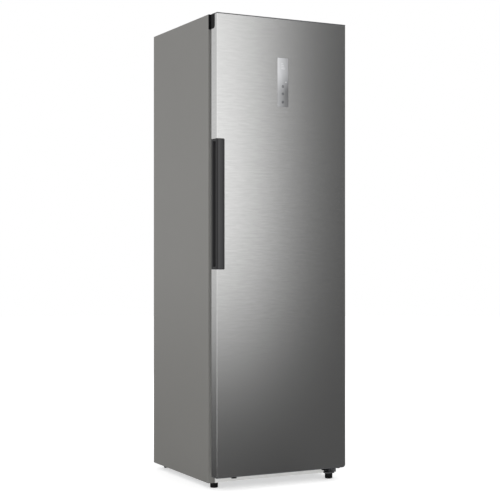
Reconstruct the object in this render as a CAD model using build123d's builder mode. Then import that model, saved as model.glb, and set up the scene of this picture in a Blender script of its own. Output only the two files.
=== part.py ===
from build123d import *
import os
from math import cos, radians, sin, tan

# A free-standing single door refrigerator, hinged on its right side.
# The origin is on the floor, under the middle of the cabinet and the closed door.
# +Z is up, the door faces -Y and +X is the hinge side. All sizes are millimetres.

os.makedirs("parts", exist_ok=True)

# Overall sizes
width = 595.0
depth = 645.0
height = 1905.0
foot_height = 23.0

# Walls
sheet = 1.0
liner_wall = 2.0
back_sheet = 2.0
side_wall = 45.0
top_wall = 45.0
back_wall = 47.0
floor_wall = 77.0
flange = 28.0
liner_corner = 12.0
profile_corner = 20.0

# Compressor bay at the back of the underside
bay_depth = 190.0
bay_height = 200.0
step_wall = 40.0

# Door
door_depth = 50.0
seal_gap = 29.0
door_drop = 4.0
door_lift = 31.0
cap_height = 4.0
frame_inset = 17.0
frame_height = 16.5
gasket_width = 16.0
gasket_gap = 0.3
plug_gap = 8.0
plug_reach = 30.0
tower_inset = 26.0
tower_width = 12.0
tower_reach = 63.0
corner_cut = 14.0

# Hinges
hinge_inset = 15.0
hinge_setback = 35.0
hinge_plate = 3.0
arm_height = 4.0
arm_half = 6.0
pin_radius = 4.0
boss_radius = 8.0
pin_fit = 0.05
pocket_depth = 31.0
pocket_height = 60.0
pocket_width = 23.5
pocket_round = 12.0
arm_drop = 15.0
screw_head = 4.5
screw_head_height = 2.2

# Handle and display
handle_front = 34.0
handle_height = 520.0
handle_bottom = 882.0
grip_opening = 28.0
grip_depth = 20.0
grip_lip = 12.0
display_width = 50.0
display_height = 199.0
display_drop = 160.0
display_glass = 2.0

# Inside
shelf_setback = 120.0
shelf_glass_height = 4.0
shelf_pitch = 235.0
cover_height = 412.0
ledge_width = 12.0
ledge_height = 6.0
shelf_side_gap = 2.5
tray_wall = 2.5
drawer_setback = 128.0
drawer_side_gap = 9.5
drawer_gap = 0.3
drawer_draft = 1.2
nose_depth = 6.0
bin_side_gap = 6.5
bin_reach = 108.0
bin_draft = 1.2
bin_corner = 28.0
bin_levels = (150.0, 470.0, 800.0, 1120.0, 1440.0)
bin_heights = (150.0, 105.0, 105.0, 105.0, 90.0)

# Rear duct and cooling parts
duct_side_gap = 24.5
duct_low_depth = 72.0
duct_high_depth = 28.0
duct_wall = 2.5
duct_low_top = 588.0
duct_slope = 45.0
duct_top = 1780.0
fan_radius = 48.0
fan_tip_gap = 2.0
fan_ring_wall = 3.0
motor_radius = 22.0
motor_length = 22.0
motor_sides = 8

# Feet and rollers
foot_radius = 16.0
foot_gap = 0.4
foot_sides = 12
foot_bevel = 2.0
stud_radius = 5.0
stud_reach = 18.0
thread_fit = 0.05
left_foot_inset = 37.0
left_foot_setback = 25.0
right_foot_inset = 40.0
right_foot_forward = 9.5
roller_radius = 15.0
roller_width = 18.0
roller_inset = 47.5
roller_setback = 32.0
axle_radius = 3.0
axle_fit = 0.05

# Places worked out from the sizes above
half_width = width / 2
door_front = -depth / 2
door_back = door_front + door_depth
cabinet_front = door_back + seal_gap
cabinet_back = depth / 2
cabinet_bottom = foot_height
door_bottom = cabinet_bottom + door_lift
door_top = height - door_drop
steel_bottom = door_bottom + cap_height
steel_top = door_top - cap_height
cavity_half = half_width - side_wall
tower_inner = cavity_half - tower_inset
bin_half = tower_inner - bin_side_gap
duct_half = cavity_half - duct_side_gap
cavity_floor = cabinet_bottom + floor_wall
cavity_top = height - top_wall
cavity_back = cabinet_back - back_wall
bay_front = cabinet_back - bay_depth
bay_top = cabinet_bottom + bay_height
step_front = bay_front - step_wall
step_top = bay_top + step_wall
rim_bottom = cavity_floor - 7
rim_top = height - flange
rim_half = half_width - flange
hinge_x = half_width - hinge_inset
hinge_y = door_front + hinge_setback
shelf_front = cabinet_front + shelf_setback
drawer_front = cabinet_front + drawer_setback
duct_low_face = cavity_back - duct_low_depth
duct_high_face = cavity_back - duct_high_depth
shelf_back = duct_high_face - 4
display_top = door_top - display_drop
handle_top = handle_bottom + handle_height
ring_radius = fan_radius + fan_tip_gap
divider_high = duct_low_top - 4
fan_height = divider_high - ring_radius - fan_ring_wall - 1
divider_low = fan_height - ring_radius - fan_ring_wall - 1
duct_low_end = step_top + profile_corner + 1
shelf_levels = [cover_height + shelf_pitch * step for step in range(2, 6)]
rack_level = cover_height + shelf_pitch


def slab(x, y, z, mode=Mode.ADD):
    """A block between two limits on each axis."""
    middle = ((x[0] + x[1]) / 2, (y[0] + y[1]) / 2, (z[0] + z[1]) / 2)
    with Locations(middle):
        Box(x[1] - x[0], y[1] - y[0], z[1] - z[0], mode=mode)


def post(centre, bottom, top, radius, mode=Mode.ADD):
    """An upright round bar or hole."""
    with BuildSketch(Plane.XY.offset(bottom)) as disc:
        with Locations(centre):
            Circle(radius)
    extrude(disc.sketch, amount=top - bottom, mode=mode)


def bar_along_x(y, z, start, end, radius, mode=Mode.ADD):
    """A round bar or hole that runs across the cabinet."""
    with BuildSketch(Plane.YZ.offset(start)) as disc:
        with Locations((y, z)):
            Circle(radius)
    extrude(disc.sketch, amount=end - start, mode=mode)


def bar_along_y(x, z, start, end, radius, mode=Mode.ADD):
    """A round bar or hole that runs from front to back."""
    with BuildSketch(Plane.XZ.offset(-start)) as disc:
        with Locations((x, z)):
            Circle(radius)
    extrude(disc.sketch, amount=-(end - start), mode=mode)


def cavity(grow):
    """The storage space, with its step over the compressor, grown by a wall.

    It is where three profiles cross: the side view, the plan and the front view.
    """
    def from_nose(corner):
        return abs(corner.X - step_front) + abs(corner.Y - step_top)

    mouth = cabinet_front - 10
    half = cavity_half + grow
    with BuildPart() as space:
        with BuildSketch(Plane.YZ.offset(-half)) as side:
            with BuildLine():
                Polyline(
                    (mouth, cavity_floor - grow),
                    (step_front + grow, cavity_floor - grow),
                    (step_front + grow, step_top - grow),
                    (cavity_back + grow, step_top - grow),
                    (cavity_back + grow, cavity_top + grow),
                    (mouth, cavity_top + grow),
                    close=True,
                )
            make_face()
            bends = side.vertices().filter_by(lambda corner: corner.X > mouth + 1)
            nose = bends.sort_by(from_nose)[0]
            fillet([bend for bend in bends if bend is not nose], profile_corner + grow)
            fillet(side.vertices().sort_by(from_nose)[0], profile_corner - grow)
        extrude(amount=2 * half)
        with BuildSketch(Plane.XY.offset(cavity_floor - grow)) as plan:
            with Locations((0, (mouth + cavity_back + grow) / 2)):
                Rectangle(2 * half, cavity_back + grow - mouth)
            fillet(plan.vertices().group_by(Axis.Y)[-1], liner_corner + grow)
        extrude(amount=cavity_top - cavity_floor + 2 * grow, mode=Mode.INTERSECT)
        with BuildSketch(Plane.XZ.offset(-mouth)):
            with Locations((0, (cavity_floor + cavity_top) / 2)):
                RectangleRounded(2 * half, cavity_top - cavity_floor + 2 * grow, liner_corner + grow)
        extrude(amount=-(cavity_back + grow - mouth), mode=Mode.INTERSECT)
    return space.part


def hinge_pocket(side):
    """The notch at a top rear corner of the door, for the hinge arm or its filler."""
    back = door_back + liner_wall
    front = door_back - pocket_depth
    with BuildPart() as notch:
        start = half_width - pocket_width if side > 0 else -half_width
        with BuildSketch(Plane.YZ.offset(start)) as face:
            with BuildLine():
                Polyline(
                    (back, door_top - pocket_height),
                    (front, door_top - pocket_height),
                    (front, door_top),
                    (back, door_top),
                    close=True,
                )
            make_face()
            low_front = face.vertices().group_by(Axis.Y)[0].sort_by(Axis.X)[0]
            fillet(low_front, pocket_round)
        extrude(amount=pocket_width)
    return notch.part


def corner_off():
    """The cut that rounds the door's lower corner over the hinge."""
    with BuildPart() as cut:
        with BuildSketch(Plane.XZ.offset(-door_back - liner_wall - 1)):
            with BuildLine():
                middle = corner_cut * (1 - cos(radians(45)))
                ThreePointArc(
                    (half_width - corner_cut, door_bottom),
                    (half_width - middle, door_bottom + middle),
                    (half_width, door_bottom + corner_cut),
                )
                Polyline(
                    (half_width, door_bottom + corner_cut),
                    (half_width + 1, door_bottom + corner_cut),
                    (half_width + 1, door_bottom - 1),
                    (half_width - corner_cut, door_bottom - 1),
                    (half_width - corner_cut, door_bottom),
                )
            make_face()
        extrude(amount=door_depth + liner_wall + 2)
    return cut.part


def handle_space():
    """The block that the handle takes out of the door's free edge."""
    with BuildPart() as block:
        slab(
            (-half_width, -half_width + handle_front),
            (door_front, door_back),
            (handle_bottom, handle_top),
        )
        corner = block.edges().filter_by(Axis.Y).group_by(Axis.X)[-1]
        fillet(corner, 5)
    return block.part


def drafted(size, middle, low, tall, angle, front_corner, back_corner):
    """A block that narrows downwards from its top outline, with a radius up each corner."""
    with BuildPart() as block:
        with BuildSketch(Plane.XY.offset(low)) as outline:
            with Locations(middle):
                Rectangle(*size)
        extrude(outline.sketch, amount=tall)
        walls = block.faces().filter_by(Axis.Z, reverse=True)
        draft(walls, Plane.XY.offset(low + tall), -angle)
        ends = block.faces().group_by(Axis.Z)
        level = ends[0].edges() + ends[-1].edges()
        slanted = [edge for edge in block.edges() if edge not in level]
        if front_corner > 0:
            fillet([edge for edge in slanted if edge.center().Y < middle[1]], front_corner)
        slanted = [edge for edge in slanted if edge.center().Y > middle[1]]
        fillet(slanted, back_corner)
    return block.part


def tub(size, middle, low, tall, wall, angle, front_corner, back_corner):
    """An open tray with drafted sides, sized at its rim: one drafted block out of another."""
    inner = (size[0] - 2 * wall, size[1] - 2 * wall)
    corners = (front_corner - wall, back_corner - wall)
    with BuildPart() as tray:
        add(drafted(size, middle, low, tall, angle, front_corner, back_corner))
        add(drafted(inner, middle, low + wall, tall - wall, angle, *corners), mode=Mode.SUBTRACT)
    return tray.part


liner_inside = cavity(0)
liner_outside = cavity(liner_wall)
left_pocket = hinge_pocket(-1)
right_pocket = hinge_pocket(1)
handle_block = handle_space()
round_corner = corner_off()

# Screw heads: two down the plate of the upper hinge and two along the lower one
screw_inset = 8.0
screw_spacing = 36.0
upper_screw_drop = 10.0
lower_screw_rise = 13.5
lower_screw_spacing = 14.0
screw_x = half_width - screw_inset
lower_screw_z = cabinet_bottom + lower_screw_rise
all_screws = [
    (screw_x, height - upper_screw_drop),
    (screw_x, height - upper_screw_drop - screw_spacing),
    (screw_x, lower_screw_z),
    (screw_x - lower_screw_spacing, lower_screw_z),
]

# Cabinet wrap: two sides and a top in one bent sheet, with a front flange
with BuildPart() as cabinet_shell:
    with BuildSketch(Plane.XZ.offset(-cabinet_front)):
        with Locations((0, (cabinet_bottom + height) / 2)):
            Rectangle(width, height - cabinet_bottom)
        with Locations((0, (cabinet_bottom + height - sheet) / 2)):
            Rectangle(width - 2 * sheet, height - sheet - cabinet_bottom, mode=Mode.SUBTRACT)
    extrude(amount=-(cabinet_back - cabinet_front))
    with BuildSketch(Plane.XZ.offset(-cabinet_front)):
        with Locations((0, (cabinet_bottom + height) / 2)):
            Rectangle(width, height - cabinet_bottom)
        with Locations((0, (cabinet_bottom + height - flange) / 2)):
            Rectangle(2 * rim_half, height - flange - cabinet_bottom, mode=Mode.SUBTRACT)
    extrude(amount=-sheet)
    corners = cabinet_shell.edges().filter_by(Axis.Z).group_by(Axis.Y)[0]
    outer = [edge for edge in corners if abs(edge.center().X) > half_width - 0.1]
    chamfer(outer, sheet * 0.5)
cabinet_shell.part.label = "cabinet_shell"
export_step(cabinet_shell.part, "parts/cabinet_shell.step")

# Bottom pan: front sill, floor and the bent step over the compressor bay
sill_top = rim_bottom
foot_left = (-half_width + left_foot_inset, cabinet_front + left_foot_setback)
with BuildPart() as base_pan:
    with BuildSketch(Plane.YZ.offset(-half_width + sheet)):
        with BuildLine():
            Polyline(
                (cabinet_front, sill_top),
                (cabinet_front, cabinet_bottom),
                (bay_front, cabinet_bottom),
                (bay_front, bay_top),
                (cabinet_back - back_sheet, bay_top),
                (cabinet_back - back_sheet, bay_top + sheet),
                (bay_front - sheet, bay_top + sheet),
                (bay_front - sheet, cabinet_bottom + sheet),
                (cabinet_front + sheet, cabinet_bottom + sheet),
                (cabinet_front + sheet, sill_top),
                close=True,
            )
        make_face()
    extrude(amount=width - 2 * sheet)
    for side in (-1, 1):
        edge = sorted((side * rim_half, side * half_width))
        span = (cabinet_front - 1, cabinet_front + sheet)
        slab(edge, span, (cabinet_bottom - 1, sill_top + 1), mode=Mode.SUBTRACT)
    stud_hole = stud_radius + thread_fit
    post(foot_left, cabinet_bottom - 1, cabinet_bottom + sheet + 1, stud_hole, mode=Mode.SUBTRACT)
base_pan.part.label = "base_pan"
export_step(base_pan.part, "parts/base_pan.step")

# Back panel with shallow upright swages
with BuildPart() as back_panel:
    slab(
        (-half_width + sheet, half_width - sheet),
        (cabinet_back - back_sheet, cabinet_back),
        (bay_top, height - sheet),
    )
    with BuildSketch(Plane.XZ.offset(-cabinet_back)):
        with Locations((0, (bay_top + height) / 2)):
            with GridLocations(width / 6, 0, 5, 1):
                Rectangle(24, height - bay_top - 120)
    extrude(amount=back_sheet * 0.4, mode=Mode.SUBTRACT)
back_panel.part.label = "back_panel"
export_step(back_panel.part, "parts/back_panel.step")

# Skin condenser: a hairpin of tube against each side wall
pipe_radius = 2.5
pipe_pitch = 90.0
pipe_low = bay_top + 120
pipe_high = height - 160
pipe_front = cabinet_front + 200
pocket_margin = 12.0
with BuildPart() as condenser_pipe:
    for side in (-1, 1):
        pipe_x = side * (half_width - sheet - pipe_radius)
        pipe_back = pipe_front + pipe_pitch
        with BuildLine() as route:
            Polyline(
                (pipe_x, pipe_front, pipe_low),
                (pipe_x, pipe_front, pipe_high),
                (pipe_x, pipe_back, pipe_high),
                (pipe_x, pipe_back, pipe_low),
            )
        with BuildSketch(Plane.XY.offset(pipe_low)) as tube:
            with Locations((pipe_x, pipe_front)):
                Circle(pipe_radius)
        sweep(tube.sketch, path=route.wires()[0], transition=Transition.RIGHT)
condenser_pipe.part.label = "condenser_pipe"
export_step(condenser_pipe.part, "parts/condenser_pipe.step")

# Insulation between wrap and liner
with BuildPart() as cabinet_foam:
    foam_back = cabinet_back - back_sheet
    with BuildSketch(Plane.YZ.offset(-half_width + sheet)):
        with BuildLine():
            Polyline(
                (cabinet_front + liner_wall, cabinet_bottom + sheet),
                (bay_front - sheet, cabinet_bottom + sheet),
                (bay_front - sheet, bay_top + sheet),
                (foam_back, bay_top + sheet),
                (foam_back, height - sheet),
                (cabinet_front + liner_wall, height - sheet),
                close=True,
            )
        make_face()
    extrude(amount=width - 2 * sheet)
    add(liner_outside, mode=Mode.SUBTRACT)
    for side in (-1, 1):
        inner = side * (half_width - sheet - 2 * pipe_radius)
        pocket_x = sorted((inner, side * half_width))
        pocket_y = (
            pipe_front - pipe_radius - pocket_margin,
            pipe_front + pipe_pitch + pipe_radius + pocket_margin,
        )
        reach = pipe_pitch / 2 + pipe_radius + pocket_margin
        slab(pocket_x, pocket_y, (pipe_low - reach, pipe_high + reach), mode=Mode.SUBTRACT)
    stud_room = cabinet_bottom + 40
    post(foot_left, cabinet_bottom, stud_room, stud_radius + 3, mode=Mode.SUBTRACT)
cabinet_foam.part.label = "cabinet_foam"
export_step(cabinet_foam.part, "parts/cabinet_foam.step")

# Inner liner: moulded tub with its front rim and the shelf ledges
ledge_levels = [cover_height, rack_level] + shelf_levels
spare_levels = [level + shelf_pitch / 2 for level in shelf_levels[:-1]]
upper_drawer_floor = step_top + 4
ledge_front = shelf_front + 22
ledge_back = duct_high_face - 10
ledge_x = cavity_half - (ledge_width - liner_wall) / 2
drawer_ledge_front = drawer_front + 15
with BuildPart() as inner_liner:
    add(liner_outside)
    add(liner_inside, mode=Mode.SUBTRACT)
    split(bisect_by=Plane.XZ.offset(-cabinet_front), keep=Keep.BOTTOM)
    with BuildSketch(Plane.XZ.offset(-cabinet_front)):
        with Locations((0, (rim_bottom + rim_top) / 2)):
            Rectangle(2 * rim_half, rim_top - rim_bottom)
        with Locations((0, (cavity_floor + cavity_top) / 2)):
            mouth_height = cavity_top - cavity_floor
            RectangleRounded(2 * cavity_half, mouth_height, liner_corner, mode=Mode.SUBTRACT)
    extrude(amount=-liner_wall)
    for level in ledge_levels + spare_levels:
        with BuildSketch(Plane.XY.offset(level)) as ledge:
            for side in (-1, 1):
                with Locations((side * ledge_x, (ledge_front + ledge_back) / 2)):
                    Rectangle(ledge_width + liner_wall, ledge_back - ledge_front)
            tips = ledge.vertices().filter_by(lambda tip: abs(tip.X) < cavity_half - 1)
            chamfer(tips, ledge_width * 0.6)
        extrude(amount=-ledge_height)
    with BuildSketch(Plane.XY.offset(upper_drawer_floor)) as drawer_ledge:
        for side in (-1, 1):
            with Locations((side * ledge_x, (drawer_ledge_front + step_front) / 2)):
                Rectangle(ledge_width + liner_wall, step_front - drawer_ledge_front)
        tips = drawer_ledge.vertices().filter_by(lambda tip: abs(tip.X) < cavity_half - 1)
        chamfer(tips, ledge_width * 0.4)
    extrude(amount=-ledge_height)
inner_liner.part.label = "inner_liner"
export_step(inner_liner.part, "parts/inner_liner.step")

# Pale plinth under the door, clipped to the sill
plinth_depth = 8.0
plinth_top = door_bottom - 4
hinge_left_end = half_width - 63
with BuildPart() as front_plinth:
    with BuildSketch(Plane.YZ.offset(-rim_half + 0.3)) as plinth_profile:
        with BuildLine():
            Polyline(
                (cabinet_front, cabinet_bottom + 1),
                (cabinet_front - plinth_depth, cabinet_bottom + 1),
                (cabinet_front - plinth_depth, plinth_top),
                (cabinet_front, plinth_top),
                close=True,
            )
        make_face()
        front_corners = plinth_profile.vertices().group_by(Axis.X)[0]
        fillet(front_corners, 2.5)
    extrude(amount=rim_half - 0.3 + hinge_left_end - 0.5)
front_plinth.part.label = "front_plinth"
export_step(front_plinth.part, "parts/front_plinth.step")

# Black blank on the left flange, where the hinge would go on a left-hung door
with BuildPart() as flange_blank:
    with BuildSketch(Plane.XZ.offset(-cabinet_front)) as blank:
        with BuildLine():
            Polyline(
                (-half_width, height - pocket_height),
                (-half_width + 16, height - pocket_height),
                (-half_width + 16, height),
                (-half_width, height),
                close=True,
            )
        make_face()
        fillet(blank.vertices().group_by(Axis.Y)[0], 4)
    extrude(amount=hinge_plate)
flange_blank.part.label = "flange_blank"
export_step(flange_blank.part, "parts/flange_blank.step")

# Upper hinge: plate on the flange, arm forward over the seal and a pin down
arm_top = height - arm_drop
arm_bottom = arm_top - arm_height
upper_pin_end = arm_bottom - 18
with BuildPart() as upper_hinge:
    with BuildSketch(Plane.XZ.offset(-cabinet_front)) as plate:
        with BuildLine():
            Polyline(
                (half_width - 16, height - pocket_height),
                (half_width, height - pocket_height),
                (half_width, height),
                (half_width - 30, height),
                (half_width - 30, arm_bottom),
                (half_width - 16, arm_bottom),
                close=True,
            )
        make_face()
        fillet(plate.vertices().group_by(Axis.Y)[0], 4)
    extrude(amount=hinge_plate)
    with BuildSketch(Plane.XY.offset(arm_bottom)):
        with Locations((hinge_x, (cabinet_front + hinge_y) / 2)):
            Rectangle(2 * arm_half, cabinet_front - hinge_y)
        with Locations((hinge_x, hinge_y)):
            Circle(boss_radius)
    extrude(amount=arm_height)
    post((hinge_x, hinge_y), upper_pin_end, arm_bottom, pin_radius)
upper_hinge.part.label = "upper_hinge"
export_step(upper_hinge.part, "parts/upper_hinge.step")

# Lower hinge: plate on the sill, arm with its pin up, and a flange for the right foot
low_arm_top = door_bottom - 4
low_arm_bottom = low_arm_top - arm_height
foot_flange = 4.0
foot_right = (half_width - right_foot_inset, cabinet_front - right_foot_forward)
with BuildPart() as lower_hinge:
    with BuildSketch(Plane.XZ.offset(-cabinet_front)):
        with BuildLine():
            Polyline(
                (hinge_left_end, cabinet_bottom),
                (half_width, cabinet_bottom),
                (half_width, low_arm_top),
                (hinge_left_end, low_arm_top),
                close=True,
            )
        make_face()
    extrude(amount=hinge_plate)
    with BuildSketch(Plane.XY.offset(low_arm_bottom)):
        with BuildLine():
            Polyline(
                (hinge_left_end, cabinet_front),
                (hinge_left_end, cabinet_front - 12),
                (hinge_x - boss_radius, hinge_y),
                (hinge_x + boss_radius, hinge_y),
                (hinge_x + boss_radius, cabinet_front),
                close=True,
            )
        make_face()
        with Locations((hinge_x, hinge_y)):
            Circle(boss_radius)
    extrude(amount=arm_height)
    with BuildSketch(Plane.XY.offset(cabinet_bottom)) as flange_plan:
        with BuildLine():
            Polyline(
                (hinge_left_end, cabinet_front),
                (hinge_left_end, cabinet_front - 26),
                (half_width - 16, cabinet_front - 26),
                (half_width - 16, cabinet_front),
                close=True,
            )
        make_face()
        fillet(flange_plan.vertices().group_by(Axis.Y)[0], 12)
        with Locations(foot_right):
            Circle(stud_radius + thread_fit, mode=Mode.SUBTRACT)
    extrude(amount=foot_flange)
    post((hinge_x, hinge_y), low_arm_top, door_bottom + 16, pin_radius)
lower_hinge.part.label = "lower_hinge"
export_step(lower_hinge.part, "parts/lower_hinge.step")

# Hinge screws: hexagon heads seated on the two hinge plates
with BuildPart() as hinge_screws:
    with BuildSketch(Plane.XZ.offset(-(cabinet_front - hinge_plate))):
        with Locations(all_screws):
            RegularPolygon(screw_head, 6)
    extrude(amount=screw_head_height)
hinge_screws.part.label = "hinge_screws"
export_step(hinge_screws.part, "parts/hinge_screws.step")

# Front feet: a twelve-sided grip with a bevelled sole, and its stud
foot_disc = foot_height - foot_gap
stud_top = foot_height + stud_reach
for label, centre in (("front_foot_left", foot_left), ("front_foot_right", foot_right)):
    with BuildPart() as foot:
        with BuildSketch():
            with Locations(centre):
                RegularPolygon(foot_radius, foot_sides)
        extrude(amount=foot_disc)
        chamfer(foot.edges().group_by(Axis.Z)[0], foot_bevel)
        post(centre, foot_disc - 1, stud_top, stud_radius)
    foot.part.label = label
    export_step(foot.part, f"parts/{label}.step")

# Compressor plate: bay floor with slots, ears and axles for the rear rollers
plate_height = 2.0
roller_y = cabinet_back - roller_setback
roller_centres = [side * (half_width - roller_inset) for side in (-1, 1)]
ear_gap = 0.5
ear_thick = 2.5
ear_low = roller_radius - 6
with BuildPart() as compressor_plate:
    slab(
        (-half_width + sheet, half_width - sheet),
        (bay_front, cabinet_back - 4),
        (cabinet_bottom, cabinet_bottom + plate_height),
    )
    slab(
        (-half_width + sheet, half_width - sheet),
        (cabinet_back - 4 - plate_height, cabinet_back - 4),
        (cabinet_bottom, cabinet_bottom + 18),
    )
    for x in roller_centres:
        slab(
            (x - roller_width / 2 - 1, x + roller_width / 2 + 1),
            (roller_y - roller_radius - 2, roller_y + roller_radius + 2),
            (cabinet_bottom - 1, cabinet_bottom + plate_height + 1),
            mode=Mode.SUBTRACT,
        )
        for side in (-1, 1):
            inner = x + side * (roller_width / 2 + ear_gap)
            start = inner if side > 0 else inner - ear_thick
            with BuildSketch(Plane.YZ.offset(start)):
                with Locations((roller_y, (ear_low + cabinet_bottom + plate_height) / 2)):
                    Rectangle(16, cabinet_bottom + plate_height - ear_low)
            extrude(amount=ear_thick)
        outer = roller_width / 2 + ear_gap + ear_thick
        bar_along_x(roller_y, roller_radius, x - outer, x + outer, axle_radius)
compressor_plate.part.label = "compressor_plate"
export_step(compressor_plate.part, "parts/compressor_plate.step")

# Rear rollers
for label, x in zip(("rear_roller_left", "rear_roller_right"), roller_centres):
    with BuildPart() as roller:
        bar_along_x(roller_y, roller_radius, x - roller_width / 2, x + roller_width / 2, roller_radius)
        bore = axle_radius + axle_fit
        ends = (x - roller_width, x + roller_width)
        bar_along_x(roller_y, roller_radius, *ends, bore, mode=Mode.SUBTRACT)
    roller.part.label = label
    export_step(roller.part, f"parts/{label}.step")

# Compressor: welded can with a seam, on a foot plate
comp_x, comp_y = 105.0, (bay_front + cabinet_back) / 2
can_long, can_wide, can_height = 156.0, 148.0, 148.0
can_corner, can_lid = 60.0, 24.0
can_seam = 3.0
mount_height = 12.0
mount_radius, mount_sides = 11.0, 8
comp_feet = cabinet_bottom + plate_height + mount_height
comp_foot_plate = 3.0
can_bottom = comp_feet + comp_foot_plate
seam = can_bottom + can_height * 0.52
mount_span_x, mount_span_y = 158.0, 104.0
with BuildPart() as compressor:
    with BuildSketch(Plane.XY.offset(can_bottom)):
        with Locations((comp_x, comp_y)):
            RectangleRounded(can_long, can_wide, can_corner)
    extrude(amount=can_height)
    ends = compressor.faces().filter_by(Axis.Z).sort_by(Axis.Z)
    chamfer(ends[-1].edges(), can_lid, can_lid * 0.6)
    with BuildSketch(Plane.XY.offset(seam)):
        with Locations((comp_x, comp_y)):
            RectangleRounded(can_long + 2 * can_seam, can_wide + 2 * can_seam, can_corner)
    extrude(amount=5)
    with BuildSketch(Plane.XY.offset(comp_feet)) as foot_outline:
        with Locations((comp_x, comp_y)):
            Rectangle(mount_span_x + 30, mount_span_y + 26)
        chamfer(foot_outline.vertices(), 10)
    extrude(amount=comp_foot_plate)
compressor.part.label = "compressor"
export_step(compressor.part, "parts/compressor.step")

# Rubber mounts under the compressor's feet
with BuildPart() as compressor_mounts:
    with BuildSketch(Plane.XY.offset(cabinet_bottom + plate_height)):
        with Locations((comp_x, comp_y)):
            with GridLocations(mount_span_x, mount_span_y, 2, 2):
                RegularPolygon(mount_radius, mount_sides)
    extrude(amount=mount_height)
compressor_mounts.part.label = "compressor_mounts"
export_step(compressor_mounts.part, "parts/compressor_mounts.step")

# Start relay under its cover, on the compressor's flank
relay_face = comp_x - can_long / 2
relay_z = can_bottom + 30
with BuildPart() as relay_box:
    slab((relay_face - 26, relay_face + 14), (comp_y - 28, comp_y + 28), (relay_z, relay_z + 62))
    chamfer(relay_box.edges().filter_by(Axis.X), 6)
    add(compressor.part, mode=Mode.SUBTRACT)
relay_box.part.label = "relay_box"
export_step(relay_box.part, "parts/relay_box.step")

# Filter drier: a short copper can in the outlet line
pipe_z = can_bottom + 60
drier_x, drier_y = half_width - 40, comp_y - 10
drier_low, drier_high = pipe_z + 30, pipe_z + 110
with BuildPart() as filter_drier:
    post((drier_x, drier_y), drier_low, drier_high, 9)
filter_drier.part.label = "filter_drier"
export_step(filter_drier.part, "parts/filter_drier.step")

# Copper pipes from the compressor's flank to the drier and up to the bay roof
can_flank = comp_x + can_long / 2
suction_x = can_flank + 40
suction_y = comp_y + 10
pipe_routes = [
    [(can_flank, drier_y, pipe_z), (drier_x, drier_y, pipe_z), (drier_x, drier_y, drier_low)],
    [(can_flank, suction_y, pipe_z), (suction_x, suction_y, pipe_z), (suction_x, suction_y, bay_top)],
    [(drier_x, drier_y, drier_high), (drier_x, drier_y, bay_top)],
]
with BuildPart() as refrigerant_pipes:
    for points in pipe_routes:
        with BuildLine() as run:
            Polyline(*points)
        with BuildSketch(Plane(origin=points[0], z_dir=run.line % 0)) as tube:
            Circle(3)
        sweep(tube.sketch, path=run.wires()[0], transition=Transition.RIGHT)
refrigerant_pipes.part.label = "refrigerant_pipes"
export_step(refrigerant_pipes.part, "parts/refrigerant_pipes.step")

# Evaporation tray for the defrost water
tray_floor = cabinet_bottom + plate_height
evaporation_tray = tub((150, 118), (-165, comp_y - 5), tray_floor, 52, 2, 4, 14, 14)
evaporation_tray.label = "evaporation_tray"
export_step(evaporation_tray, "parts/evaporation_tray.step")

# Control board housing under the bay roof, with the gland for the supply
box_low = bay_top - 66
with BuildPart() as control_box:
    slab((-245, -85), (bay_front + 20, cabinet_back - 26), (box_low, bay_top))
    chamfer(control_box.edges().filter_by(Axis.Z), 6)
    recess = ((-225, -105), (cabinet_back - 27, cabinet_back - 20), (box_low + 8, bay_top - 8))
    slab(*recess, mode=Mode.SUBTRACT)
control_box.part.label = "control_box"
export_step(control_box.part, "parts/control_box.step")

gland_x, gland_z = -120.0, box_low + 32
gland_flange, gland_nose = 13.0, 9.0
gland_seat = cabinet_back - 27
with BuildPart() as mains_inlet:
    for half, reach in ((gland_flange, 6), (gland_nose, 15)):
        across = (gland_x - half, gland_x + half)
        slab(across, (gland_seat, gland_seat + reach), (gland_z - half, gland_z + half))
    chamfer(mains_inlet.edges().filter_by(Axis.Y), 3)
mains_inlet.part.label = "mains_inlet"
export_step(mains_inlet.part, "parts/mains_inlet.step")


def duct_profile(inset):
    """The duct cover's side outline, deep over the evaporator and shallow above it."""
    low = duct_low_end + inset
    return [
        (cavity_back, low),
        (duct_low_face + inset, low),
        (duct_low_face + inset, duct_low_top),
        (duct_high_face + inset, duct_low_top + duct_slope),
        (duct_high_face + inset, duct_top - inset),
        (cavity_back, duct_top - inset),
    ]


# Rear duct cover: open-backed moulding with air slots at every shelf and a return grille
with BuildPart() as duct_cover:
    for inset, mode in ((0, Mode.ADD), (duct_wall, Mode.SUBTRACT)):
        with BuildSketch(Plane.YZ.offset(-duct_half + inset)):
            with BuildLine():
                Polyline(*duct_profile(inset), close=True)
            make_face()
        extrude(amount=2 * (duct_half - inset), mode=mode)
    with BuildSketch(Plane.XZ.offset(-duct_high_face)):
        for level in [rack_level + 90] + [level + 60 for level in shelf_levels]:
            for side in (-1, 1):
                with Locations((side * 130, level)):
                    with GridLocations(0, 16, 1, 3):
                        Rectangle(110, 7)
    extrude(amount=-duct_wall, mode=Mode.SUBTRACT)
    with BuildSketch(Plane.XZ.offset(-duct_low_face)):
        with Locations((0, duct_low_end + 20)):
            with GridLocations(36, 0, 11, 1):
                Rectangle(6, 22)
    extrude(amount=-duct_wall, mode=Mode.SUBTRACT)
duct_cover.part.label = "duct_cover"
export_step(duct_cover.part, "parts/duct_cover.step")

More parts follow.
